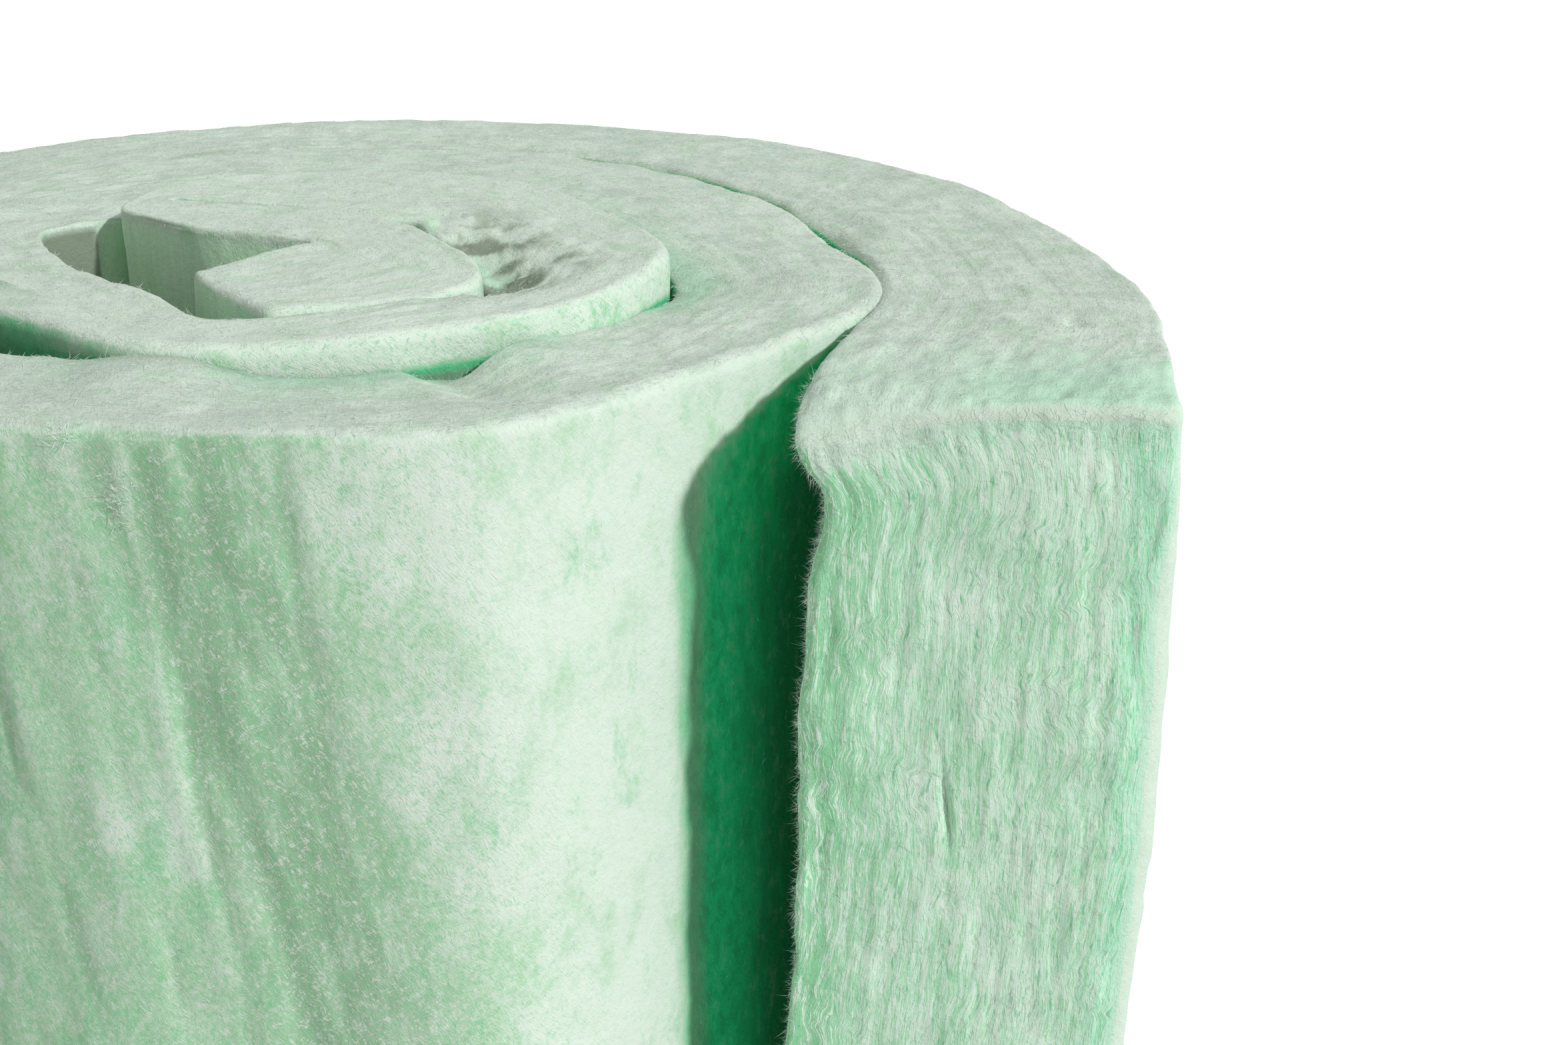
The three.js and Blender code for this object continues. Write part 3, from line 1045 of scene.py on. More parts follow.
def joining_faces(i, keep, left_all, right_all):
    """Faces between station i and the next that also take in the finer rows of a neighbour."""
    rows = np.flatnonzero(keep)
    faces = []
    for here, after in zip(rows, np.append(rows[1:], ring)):
        between = np.arange(here, after + 1)
        both_ends = (between == here) | (between == after)
        left = between[left_all[between % ring] | both_ends] % ring
        right = between[right_all[between % ring] | both_ends] % ring
        faces.append([*(i * ring + left), *((i + 1) * ring + right[::-1])])
    return faces


everything = np.ones(ring, bool)
row_sets = [start_rows, *[keep for _, _, keep in stretches], everything]
quads, odd_faces = [], []
for place, (first, last, keep) in enumerate(stretches, start=1):
    before, after = keep | row_sets[place - 1], keep | row_sets[place + 1]
    quads.append(strip_faces(first + 1, last - 1, keep).reshape(-1, 4))
    odd_faces += joining_faces(first, keep, before, keep)
    odd_faces += joining_faces(last - 1, keep, keep, after)
print("joining faces:", len(odd_faces))


# %% Faces of the two ends
def patch_faces(index):
    """Quads of a patch from the numbers of its points."""
    return np.stack([index[:-1, :-1], index[:-1, 1:], index[1:, 1:], index[1:, :-1]], axis=-1).reshape(-1, 4)


def patch_numbers(border, start):
    """Point numbers of a patch: its border's own, and new ones from start for the points inside."""
    inside = border < 0
    return np.where(inside, start - 1 + np.cumsum(inside).reshape(inside.shape), border), inside


start_border = patch_rows()[kept_face_rows][:, kept_top_rows]
start_index, in_start = patch_numbers(start_border, skin[..., 0].size)
end_border = patch_rows()
end_border[end_border >= 0] += (len(stations) - 1) * ring
end_index, in_end = patch_numbers(end_border, skin[..., 0].size + in_start.sum())
quads = np.concatenate([*quads, patch_faces(start_index), patch_faces(end_index)[:, ::-1]])
points = np.concatenate([skin.reshape(-1, 3), start_points[in_start], end_points[in_end]])
print("quads:", len(quads), " points:", len(points))

# %% [markdown]
# ## What each point knows
# The finish can't work out by itself where a point lies in the strip, so the mesh carries that as
# attributes: its place in strip space, its open share, which sets painted shade, how much it belongs to the
# cut end, and whether it lies in a fold's valley or on its ridge, where the finish paints shade and light.
# One more tints it with painted shade and painted light: towards 1 a brownish grey, painted shade where
# only thrown-back light arrives, and towards -1 a clear sap green, painted light that stands in for light
# that has passed through the batt.


# %% Open share, cut end and valleys
def with_ends(on_skin, in_start_patch, in_end_patch):
    """Values of every point: the skin's, then those inside the two end patches, each one value or one a
    point."""
    inside_start = np.full(in_start.sum(), in_start_patch)
    inside_end = np.full(in_end.sum(), in_end_patch)
    return np.concatenate([on_skin.ravel(), inside_start, inside_end])


spaces = np.concatenate([strip_space.reshape(-1, 3), start_space[in_start], end_space[in_end]])
# The inner end's open share, and so its painted shade, lessens towards the top.
start_open = np.interp(start_space[in_start][:, 2], (0.50, 0.57), (0.58, 0.90))  # more open towards the top
to_felt = 0.0006 + 0.0016 * smoothstep(depth / wide, 0.9, 0.7)  # how far the cut laps onto the faces
below_edge = np.clip(free_end_top[None] - strip_space[..., 2], 0, None)
cut_rows = smoothstep(to_felt - to_end[:, None], 0, 0.0006) * smoothstep(below_edge, 0.0005, 0.0025)
end_below_top = (end_space[-1:, :, 2] - end_space[..., 2])[in_end]
soft_reach = 0.0065 + 0.012 * bell(end_space[in_end][:, 1], 0.0, 0.030)
end_cut = smoothstep(end_below_top / soft_reach, 0.1, 1.0)
fold_depth = folds / 0.0012
# The finish paints shade into a fold's valley and light onto its ridge and onto the lint.
valley = smoothstep(-fold_depth, 0.0, 0.9) - smoothstep(fold_depth, 0.0, 0.9)
print("share of the skin in a valley:", (valley > 0.5).mean().round(3))

# %% Tints of painted shade and painted light
# Painted shade, towards 1: the hollow's back wall, the rough dent, beside the seams and the crease, the
# wedge, the gap's edge and the left gap. Painted light, towards -1: the hollow's shaded part, the slit's side
# and the nose's rim.
below_rim = smoothstep(below_top, 0.001, 0.006)
hollow_back = ~on_outer_side * stretch(0.52, 0.56, 0.6905, 0.6945) * smoothstep(below_top, 0.0005, 0.0040)
hollow_shade = ~on_outer_side * stretch(0.6919, 0.6940, 0.75, 0.78) * below_rim
slit_side = on_outer_side * smoothstep(length_along, 0.25, 0.22) * below_rim
patchy_dent = rough_dent * smoothstep(rough_field(skin, 0.009, 73), -0.4, 0.5)
beside_seam = bell(depth, 0.0, 0.0045) * on_top * smoothstep(length_along, 0.62, 0.70)
beside_seam *= smoothstep(to_end[:, None], 0.10, 0.16) * smoothstep(field(skin, 0.020, 72), -0.5, 0.5)
beside_crease = bell(crease, 0, 0.012) * (crease_side < 0) * inner_share
gap_edge = on_outer_side * bell(length_along, 1.146, 0.0045) * smoothstep(openness, 0.98, 0.86)
nose_rim = bell(length_along, 0.288, 0.008) * bell(inner_share, 1.0, 0.30) * on_top
tints = (
    (0.92, hollow_back), (1.3, patchy_dent), (0.55, beside_seam), (0.4, beside_crease), (0.6, in_wedge),
    (0.5, gap_edge), (0.62, left_gap), (-0.6, hollow_shade), (-0.9, slit_side), (-0.9, nose_rim),
)  # fmt: skip
painted_shade_and_light = np.clip(sum(strength * where for strength, where in tints), -1, 1)
# The inner end's patch is given painted light, towards the sap green.
start_tint = -0.75
print("shares tinted dusky and sap green:", (painted_shade_and_light > 0.3).mean().round(3), (painted_shade_and_light < -0.3).mean().round(3))


# %% Make the mesh object
def mesh_object(name, points, *face_groups):
    """A mesh object from points and groups of faces, where a group is an array with one row a face. Points
    that no face uses are left out."""
    sizes = np.concatenate([np.full(len(group), group.shape[1]) for group in face_groups]).astype(int)
    used, loops = np.unique(np.concatenate([group.ravel() for group in face_groups]), return_inverse=True)
    mesh = bpy.data.meshes.new(name)
    mesh.vertices.add(len(used))
    mesh.vertices.foreach_set("co", points[used].astype(np.float32).ravel())
    mesh.loops.add(len(loops))
    mesh.loops.foreach_set("vertex_index", loops.astype(np.int32).ravel())
    mesh.polygons.add(len(sizes))
    mesh.polygons.foreach_set("loop_start", np.concatenate([[0], np.cumsum(sizes)[:-1]]).astype(np.int32))
    mesh.polygons.foreach_set("use_smooth", np.ones(len(sizes), bool))
    mesh.update(calc_edges=True)
    mesh.validate()
    made = bpy.data.objects.new(name, mesh)
    bpy.context.scene.collection.objects.link(made)
    return made, used


def signed_volume(mesh):
    """The volume inside a mesh, which is above 0 where its faces point outwards, and the number of edges
    that don't lie between two faces."""
    shape = bmesh.new()
    shape.from_mesh(mesh)
    volume = shape.calc_volume(signed=True)
    open_edges = sum(not edge.is_manifold for edge in shape.edges)
    shape.free()
    return volume, open_edges


blanket, used = mesh_object("rolled_blanket", points, quads, *[np.array([face]) for face in odd_faces])
volume, open_edges = signed_volume(blanket.data)
triangles = len(blanket.data.loops) - 2 * len(blanket.data.polygons)
print("volume, litres:", round(volume * 1000, 2), " open edges:", open_edges, " triangles:", triangles)


# %% Keep the values on the mesh
def keep_attribute(mesh, name, kind, values):
    """Stores one value a point on a mesh, under a name that the finish can read."""
    attribute = mesh.attributes.new(name, kind, "POINT")
    target = "vector" if kind == "FLOAT_VECTOR" else "value"
    attribute.data.foreach_set(target, np.asarray(values, np.float32).ravel())


point_values = {
    "openness": with_ends(openness, start_open, 1.0),
    "cut_end": with_ends(cut_rows, 0.0, end_cut),
    "valley": with_ends(valley, 0.0, 0.0),
    "painted_shade_and_light": with_ends(painted_shade_and_light, start_tint, 0.0),
}
keep_attribute(blanket.data, "strip_space", "FLOAT_VECTOR", spaces[used])
for value_name, values in point_values.items():
    keep_attribute(blanket.data, value_name, "FLOAT", values[used])
print("attributes:", ["strip_space", *point_values])

# %% [markdown]
# ## The fibre finish
# Polyester fluff is matt, and each fibre is clear and slightly glossy, so light that only touches the
# surface comes back nearly white, and light that has gone deeper comes back green. The finish mixes a pale,
# a mint and a deeper green by slow clouds, streaks that follow the layers, and a fine grain of crossing
# fibres. An image would need unwrapping and would repeat, so the patterns are noise, measured in metres on
# the piece or in strip space.


# %% Short names for building materials
def new_material(name):
    """An empty node material."""
    material = bpy.data.materials.new(name)
    material.use_nodes = True
    material.node_tree.nodes.clear()
    return material


class Nodes:
    """A material's nodes: each method adds one node and returns the socket that the next node reads."""

    def __init__(self, material):
        """Looks up the material's nodes and links once."""
        self.nodes = material.node_tree.nodes
        self.links = material.node_tree.links

    def add(self, kind, **settings):
        """Any node, with its settings."""
        node = self.nodes.new(kind)
        for name, value in settings.items():
            setattr(node, name, value)
        return node

    def put(self, value, socket):
        """A number or colour is set on the socket, and another node's socket is linked to it."""
        if isinstance(value, bpy.types.NodeSocket):
            self.links.new(value, socket)
        else:
            socket.default_value = value

    def attribute(self, name, output="Fac"):
        """What the mesh keeps under a name."""
        return self.add("ShaderNodeAttribute", attribute_name=name).outputs[output]

    def parts(self, vector):
        """The vector's X, Y and Z, as sockets by name."""
        node = self.add("ShaderNodeSeparateXYZ")
        self.links.new(vector, node.inputs[0])
        return node.outputs

    def sized(self, vector, size, turn=(0, 0, 0)):
        """The vector turned, then measured in cells of a size in metres."""
        node = self.add("ShaderNodeMapping", vector_type="TEXTURE")
        node.inputs["Rotation"].default_value = turn
        node.inputs["Scale"].default_value = size
        self.links.new(vector, node.inputs["Vector"])
        return node.outputs[0]

    def noise(self, vector, size, detail=2.0, roughness=0.5, turn=(0, 0, 0), output="Fac"):
        """Smooth noise from 0 to 1, with lumps of a size in metres."""
        node = self.add("ShaderNodeTexNoise")
        node.inputs["Scale"].default_value = 1.0
        node.inputs["Detail"].default_value = detail
        node.inputs["Roughness"].default_value = roughness
        self.links.new(self.sized(vector, size, turn), node.inputs["Vector"])
        return node.outputs[output]

    def between(self, value, low, high, to_low=0.0, to_high=1.0):
        """An S from to_low, where the value is low or beyond, to to_high, where it is high or beyond."""
        node = self.add("ShaderNodeMapRange", interpolation_type="SMOOTHSTEP")
        for name, number in zip(("From Min", "From Max", "To Min", "To Max"), (low, high, to_low, to_high)):
            node.inputs[name].default_value = number
        self.links.new(value, node.inputs["Value"])
        return node.outputs[0]

    def maths(self, operation, a, b=0.0):
        """Two values in one of Blender's operations."""
        node = self.add("ShaderNodeMath", operation=operation)
        self.put(a, node.inputs[0])
        self.put(b, node.inputs[1])
        return node.outputs[0]

    def plus(self, a, b):
        """a + b."""
        return self.maths("ADD", a, b)

    def minus(self, a, b):
        """a - b."""
        return self.maths("SUBTRACT", a, b)

    def times(self, a, b):
        """a times b."""
        return self.maths("MULTIPLY", a, b)

    def swing(self, noise, reach):
        """A noise as a value that swings about 0, by up to half the reach."""
        return self.times(self.minus(noise, 0.5), reach)

    def warped(self, vector, size, amount):
        """The vector pushed about by a coloured noise with lumps of a size, by up to about half the
        amount."""
        colour = self.noise(vector, (size, size, size), detail=1.0, output="Color")
        push = self.add("ShaderNodeVectorMath", operation="MULTIPLY_ADD")
        self.links.new(colour, push.inputs[0])
        push.inputs[1].default_value = (amount, amount, amount)
        self.links.new(vector, push.inputs[2])
        return push.outputs[0]

    def shifted_depth(self, vector, shift):
        """Strip space with its depth moved."""
        offset = self.add("ShaderNodeCombineXYZ")
        self.links.new(shift, offset.inputs["Y"])
        node = self.add("ShaderNodeVectorMath", operation="ADD")
        self.links.new(vector, node.inputs[0])
        self.links.new(offset.outputs[0], node.inputs[1])
        return node.outputs[0]

    def blend_value(self, share, a, b):
        """Value a where share is 0 and value b where it is 1."""
        node = self.add("ShaderNodeMix", data_type="FLOAT")
        for socket, value in zip((0, 2, 3), (share, a, b)):
            self.put(value, node.inputs[socket])
        return node.outputs[0]

    def blend(self, share, a, b):
        """Colour a where share is 0 and colour b where it is 1."""
        node = self.add("ShaderNodeMix", data_type="RGBA")
        for socket, value in zip((0, 6, 7), (share, a, b)):
            self.put(value, node.inputs[socket])
        return node.outputs[2]


# %% [markdown]
# ## Felt, cut edge and cut end
# The batt shows three kinds of surface. Felt shows single fibres that lie flat, while a cut shows the
# layers from their side, mottled on the side edge and in streaks on the cut end. One pattern for all three
# would be simpler, but they differ in kind, so each has a pattern of its own. A pattern gives a colour and
# a grain, and the grain later makes the bump. Numbers such as 1.02 or 2.12 are distances along the strip
# in metres.

# %% Felt faces
pale_fibre = (0.70, 0.80, 0.71, 1)
mint_fibre = (0.46, 0.68, 0.475, 1)
green_fibre = (0.24, 0.60, 0.32, 1)
fresh_fibre = (0.36, 0.68, 0.36, 1)
shade_fibre = (0.28, 0.45, 0.29, 1)


def strokes(n, vector, length, width):
    """Fine strokes in two crossing directions, bent by a slower noise so that no two run quite the same
    way."""
    bent = n.warped(vector, 0.006, 0.0034)
    falling = n.noise(bent, (length, length, width), detail=2.0, roughness=0.65, turn=(0, -1.0, 0))
    rising = n.noise(bent, (length, length, width), detail=2.0, roughness=0.65, turn=(0, 0.45, 0))
    return n.plus(n.times(falling, 0.6), n.times(rising, 0.4))


def leaned_along(n, along, leans):
    """The distance along the strip, read on a line that leans back as it rises."""
    return n.minus(along["X"], n.times(along["Z"], leans))


def felt_pattern(n, place, strip):
    """A felt face: clouds that are paler on the free end's side, as painted light on the outer wall, greener
    patches, painted shade in a leaning zone and in the dark valleys, painted light on the ridges and near the
    free end, and a grain of short fibres that mostly run down and to the right."""
    along = n.parts(strip)
    outer_wall = n.between(along["X"], 0.95, 1.02)
    wall_line = leaned_along(n, along, 0.12)
    # Painted light: the outer wall is paler towards the side that the lamp lights, and greener away from it.
    painted_light_band = n.times(n.between(wall_line, 1.192, 1.130, -0.07, 0.12), outer_wall)
    paler = n.plus(painted_light_band, n.between(along["X"], 1.02, 0.95, 0.0, 0.11))
    clouds = n.noise(place, (0.020, 0.020, 0.034), detail=9.0, roughness=0.68, turn=(0, 0.12, 0))
    colour = n.blend(n.between(n.plus(clouds, paler), 0.40, 0.64), mint_fibre, pale_fibre)

    patches = n.noise(place, (0.012, 0.012, 0.024), detail=9.0, roughness=0.74, turn=(0.3, 0.12, 0.2))
    patches = n.minus(patches, n.times(paler, 0.45))
    colour = n.blend(n.between(patches, 0.49, 0.66, 0.0, 0.60), colour, green_fibre)

    # Painted shade: a leaning zone of the outer wall is darker.
    from_shaded_line = n.maths("ABSOLUTE", n.minus(leaned_along(n, along, 0.168), 1.167))
    shaded_zone = n.between(from_shaded_line, 0.030, 0.008)
    shaded = n.noise(strip, (0.007, 0.02, 0.035), detail=7.0, roughness=0.72, turn=(0, 0.12, 0))
    colour = n.blend(n.times(shaded_zone, n.between(shaded, 0.36, 0.58, 0.34, 1.0)), colour, shade_fibre)
    # Painted shade in the folds' valleys, and painted light on their ridges and the lint.
    valley = n.plus(n.attribute("valley"), n.swing(clouds, 1.2))
    colour = n.blend(n.between(valley, 0.10, 0.95, 0.0, 0.65), colour, shade_fibre)
    colour = n.blend(n.between(valley, -0.25, -0.95, 0.0, 0.40), colour, pale_fibre)
    fresh = n.noise(place, (0.020, 0.020, 0.026), detail=6.0, roughness=0.6, turn=(0.4, 0.2, 0.7))
    colour = n.blend(n.between(fresh, 0.59, 0.72, 0.0, 0.40), colour, fresh_fibre)

    grain = strokes(n, strip, 0.0022, 0.00028)
    mottle = n.noise(place, (0.0020, 0.0020, 0.0026), detail=5.0, roughness=0.75, turn=(0.2, 0.5, 0.3))
    fine = n.plus(n.times(grain, 0.6), n.times(mottle, 0.4))
    # Painted light: the grain darkens less where the lamp lights the outer wall.
    painted_light_on_wall = n.times(n.between(wall_line, 1.160, 1.120, 0.0, 0.75), outer_wall)
    darker = n.times(n.between(fine, 0.495, 0.415, 0.0, 0.62), n.minus(1.0, painted_light_on_wall))
    colour = n.blend(darker, colour, green_fibre)
    colour = n.blend(n.between(fine, 0.505, 0.585, 0.0, 0.65), colour, pale_fibre)
    # Painted light on the outer face near the free end.
    painted_light_near_end = n.between(along["X"], 2.00, 2.12, 0.0, 0.75)
    return n.blend(painted_light_near_end, colour, pale_fibre), fine


# %% Cut side edge
grey_fibre = (0.57, 0.66, 0.585, 1)
fluffed_fibre = (0.50, 0.82, 0.62, 1)  # next to the free end


def top_pattern(n, place, strip):
    """A cut side edge: greyish, mottled, with fine fibres that lie along the strip or curl any way."""
    along = n.parts(strip)
    greyer = n.times(n.between(along["X"], 1.15, 1.28, 0.0, 0.10), n.between(along["X"], 1.75, 1.60))
    paler = n.minus(n.between(along["X"], 0.75, 0.45, 0.0, 0.10), greyer)
    clouds = n.noise(place, (0.012, 0.012, 0.012), detail=9.0, roughness=0.72)
    colour = n.blend(n.between(n.plus(clouds, paler), 0.38, 0.60), grey_fibre, pale_fibre)
    patches = n.noise(strip, (0.018, 0.008, 0.01), detail=8.0, roughness=0.70)
    colour = n.blend(n.between(patches, 0.50, 0.66, 0.0, 0.55), colour, mint_fibre)

    streaks = n.noise(n.warped(strip, 0.007, 0.0026), (0.0050, 0.00045, 0.01), detail=2.0, roughness=0.65)
    bent = n.warped(place, 0.005, 0.0032)
    grain = n.noise(bent, (0.0020, 0.0004, 0.0010), detail=2.0, roughness=0.65, turn=(0, 0, 0.5))
    crossing = n.noise(bent, (0.0004, 0.0020, 0.0010), detail=2.0, roughness=0.65, turn=(0, 0, 0.3))
    fine = n.plus(n.plus(n.times(streaks, 0.34), n.times(grain, 0.33)), n.times(crossing, 0.33))
    colour = n.blend(n.between(fine, 0.49, 0.40, 0.0, 0.50), colour, shade_fibre)
    colour = n.blend(n.between(fine, 0.52, 0.60, 0.0, 0.60), colour, pale_fibre)

    ragged = n.plus(along["X"], n.times(patches, 0.06))
    fluffed = n.times(n.between(ragged, 2.200, 2.245, 0.0, 0.65), n.between(along["Y"], 0.02, 0.06, 0.3, 1.0))
    return n.blend(fluffed, colour, fluffed_fibre), fine


# %% Cut end
cut_mint_fibre = (0.50, 0.79, 0.57, 1)
cut_pale_fibre = (0.68, 0.86, 0.72, 1)
cut_fresh_fibre = (0.42, 0.88, 0.60, 1)
cut_streak_fibre = (0.74, 0.86, 0.76, 1)
cut_mark_fibre = (0.14, 0.52, 0.27, 1)


def end_pattern(n, place, strip):
    """The cut end: the layers show as fine, nearly upright streaks, crinkled in some zones and combed into
    the notch at the inner side, with a few deeper green marks, and greener towards both faces."""
    slow = n.noise(strip, (0.03, 0.035, 0.050), detail=2.0)
    ripple = n.noise(strip, (0.03, 0.008, 0.010), detail=2.0)
    quick = n.noise(strip, (0.03, 0.012, 0.0050), detail=1.0)
    crinkled_zone = n.between(n.noise(strip, (0.03, 0.026, 0.020), detail=1.0), 0.55, 0.66)
    shift = n.plus(n.times(slow, 0.010), n.times(ripple, 0.0012))
    shift = n.plus(shift, n.times(n.times(quick, crinkled_zone), 0.0030))
    layers = n.shifted_depth(strip, shift)
    broad = n.noise(layers, (0.02, 0.0013, 0.014), detail=5.0, roughness=0.66)
    narrow = n.noise(layers, (0.02, 0.00036, 0.0045), detail=3.0, roughness=0.70)
    streaks = n.plus(n.times(broad, 0.45), n.times(narrow, 0.55))

    clouds = n.noise(place, (0.020, 0.020, 0.026), detail=6.0, roughness=0.62)
    ragged_depth = n.plus(n.parts(strip)["Y"], n.times(clouds, 0.016))
    colour = n.blend(n.between(clouds, 0.40, 0.66), cut_mint_fibre, cut_pale_fibre)
    colour = n.blend(n.between(ragged_depth, 0.085, 0.093, 0.0, 0.70), colour, cut_fresh_fibre)
    colour = n.blend(n.between(ragged_depth, 0.035, 0.014, 0.0, 0.80), colour, green_fibre)
    colour = n.blend(n.between(streaks, 0.487, 0.425, 0.0, 0.55), colour, green_fibre)
    colour = n.blend(n.between(streaks, 0.51, 0.57, 0.0, 0.85), colour, cut_streak_fibre)
    marks = n.noise(layers, (0.02, 0.0010, 0.0060), detail=2.0)
    return n.blend(n.between(marks, 0.63, 0.74, 0.0, 0.7), colour, cut_mark_fibre), streaks


# %% [markdown]
# ## Light that went deep
# Where the open share is low, light arrives only through other fibres, and each pass takes out red and
# blue. Subsurface light could show that, but it would blur the fine grain as well. So it is painted into the
# colour itself: the colour goes to a green, then to a deep green, as painted shade, with a pale haze of
# fibres in front. A noise along the layers makes that change ragged, and the tints of painted shade and
# light kept on the mesh go in before and after it.

# %% Deep green and the tints
# Colours of painted shade: a deep and a deepest green and a brownish grey; and of painted light: a clear sap
# green.
painted_shade_green = (0.004, 0.62, 0.25, 1)
painted_deepest_shade = (0.001, 0.30, 0.11, 1)
painted_shade_grey = (0.27, 0.325, 0.25, 1)
painted_light_green = (0.68, 0.99, 0.71, 1)


def deepened(n, place, strip, colour, upright):
    """The colour with the greens of light that came through the batt, painted as shade, and with the two
    tints of painted shade and painted light.
    """
    # Painted light: the clear sap green where the tint is below 0.
    tinted = n.attribute("painted_shade_and_light")
    sap_streaks = n.noise(strip, (0.0040, 0.004, 0.030), detail=6.0, roughness=0.7)
    sap = n.times(n.between(tinted, 0.0, -1.0), n.between(sap_streaks, 0.36, 0.62, 0.55, 1.0))
    colour = n.blend(sap, colour, painted_light_green)

    streaks = n.noise(strip, (0.0036, 0.004, 0.018), detail=8.0, roughness=0.72)
    open_here = n.plus(n.attribute("openness"), n.swing(streaks, 0.40))
    # Painted shade: a green, then a deep green, where the open share is low.
    dim = n.times(n.between(open_here, 0.97, 0.70, 0.0, 0.45), upright)
    deep = n.times(n.between(open_here, 0.85, 0.50, 0.0, 0.97), upright)
    colour = n.blend(dim, colour, green_fibre)
    felted = n.noise(place, (0.004, 0.004, 0.007), detail=6.0, roughness=0.74)
    deeper = n.maths("MAXIMUM", n.between(open_here, 0.38, 0.14), n.between(felted, 0.53, 0.38, 0.0, 0.50))
    colour = n.blend(deep, colour, n.blend(deeper, painted_shade_green, painted_deepest_shade))
    haze = n.times(deep, n.between(felted, 0.52, 0.66, 0.0, 0.15))
    colour = n.blend(haze, colour, pale_fibre)
    # Painted shade: the brownish grey where the tint is above 0.
    return n.blend(n.between(tinted, 0.0, 1.0), colour, painted_shade_grey)


# %% The whole finish
def batt_finish():
    """Felt on the faces, the mottled cut edge on top, the layered cut at the free end, and painted shade in
    deep green where little light gets in."""
    material = new_material("fibre_batt")
    n = Nodes(material)
    place = n.add("ShaderNodeTexCoord").outputs["Object"]
    strip = n.attribute("strip_space", "Vector")
    cut_end = n.attribute("cut_end")
    normal = n.parts(n.add("ShaderNodeNewGeometry").outputs["Normal"])
    up_here = n.between(normal["Z"], 0.35, 0.85)
    upright = n.minus(1.0, n.times(up_here, 0.8))

    felt, felt_grain = felt_pattern(n, place, strip)
    top, top_grain = top_pattern(n, place, strip)
    end, end_grain = end_pattern(n, place, strip)
    laps_over = n.between(cut_end, 0.0, 0.05)
    top_here = n.maths("MAXIMUM", up_here, laps_over)
    scraps = n.noise(place, (0.0026, 0.0026, 0.010), detail=6.0, roughness=0.74)
    on_cut = n.times(n.between(n.plus(cut_end, n.swing(scraps, 2.2)), 0.25, 0.75), laps_over)
    colour = n.blend(on_cut, n.blend(top_here, felt, top), end)
    colour = deepened(n, place, strip, colour, upright)

    grain = n.blend_value(on_cut, n.blend_value(top_here, felt_grain, top_grain), end_grain)
    fluff = n.noise(place, (0.0028, 0.0028, 0.0028), detail=5.0, roughness=0.68)
    bump = n.add("ShaderNodeBump")
    bump.inputs["Strength"].default_value = 0.6
    bump.inputs["Distance"].default_value = 0.0010
    n.links.new(n.plus(n.times(grain, 0.8), n.times(fluff, 0.9)), bump.inputs["Height"])

    surface = n.add("ShaderNodeBsdfPrincipled")
    surface.inputs["Roughness"].default_value = 0.85
    surface.inputs["Specular IOR Level"].default_value = 0.08
    surface.inputs["Sheen Weight"].default_value = 0.05
    surface.inputs["Sheen Roughness"].default_value = 0.6
    surface.inputs["Sheen Tint"].default_value = (0.9, 1.0, 0.93, 1)
    n.links.new(colour, surface.inputs["Base Color"])
    n.links.new(bump.outputs[0], surface.inputs["Normal"])
    output = n.add("ShaderNodeOutputMaterial")
    n.links.new(surface.outputs[0], output.inputs["Surface"])
    print("nodes in the batt's finish:", len(n.nodes))
    return material


blanket.data.materials.append(batt_finish())
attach(blanket, "root")
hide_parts("insulation_blanket")

# %% [markdown]
# ## Loose fibres
# A batt is never smooth: single fibres lie on it, and stand off its cut edges. Hair particles would render
# well but don't export, so each fibre here is a thin closed spindle: a tip, one or more rings of three
# points, and a tip. Thousands of them share one mesh. They are scattered by area from a fixed seed, most
# thickly where the batt was cut.


# %% Spindles
def spindles(place, along, length, thickness, bend, rings):
    """Closed spindles: the middle line leaves a place along a direction and curves by bend times t
    squared, and the radius is half the thickness times the sine of pi t, where t runs from 0 at one tip to
    1 at the other."""
    t = np.linspace(0, 1, rings + 2)[None, :, None]
    middle = place[:, None] + along[:, None] * length[:, None, None] * t + bend[:, None] * t**2
    too_low = np.maximum(thickness - middle[..., 2].min(axis=1), 0)
    middle[..., 2] += too_low[:, None]  # none goes through the floor
    beside_it = np.cross(along, bend + [1e-6, 2e-6, 3e-6])
    beside_it /= np.linalg.norm(beside_it, axis=1)[:, None]
    third = np.cross(along, beside_it)
    radius = thickness[:, None] / 2 * np.sin(math.pi * t[..., 0])
    angle = np.arange(3) * 2 * math.pi / 3
    circle = beside_it[:, None, None] * np.cos(angle)[:, None] + third[:, None, None] * np.sin(angle)[:, None]
    ringed = middle[:, 1:-1, None] + radius[:, 1:-1, None, None] * circle
    count = len(place)
    points = np.concatenate([middle[:, :1], ringed.reshape(count, -1, 3), middle[:, -1:]], axis=1)
    return points.reshape(-1, 3), spindle_faces(count, rings)


def spindle_faces(count, rings):
    """Triangles at both tips of each spindle, and quads between its rings."""
    k = np.arange(3)
    after = (k + 1) % 3
    first_ring, last_ring, end_tip = 1, 1 + 3 * (rings - 1), 1 + 3 * rings
    tips = np.concatenate([
        np.stack([first_ring + after, first_ring + k, 0 * k], axis=1),
        np.stack([last_ring + k, last_ring + after, 0 * k + end_tip], axis=1),
    ])  # fmt: skip
    bands = [np.stack([r + k, r + after, r + 3 + after, r + 3 + k], axis=1) for r in range(1, last_ring, 3)]
    starts = np.arange(count)[:, None, None] * (3 * rings + 2)
    groups = [(tips[None] + starts).reshape(-1, 3)]
    if bands:
        groups.append((np.concatenate(bands)[None] + starts).reshape(-1, 4))
    return groups


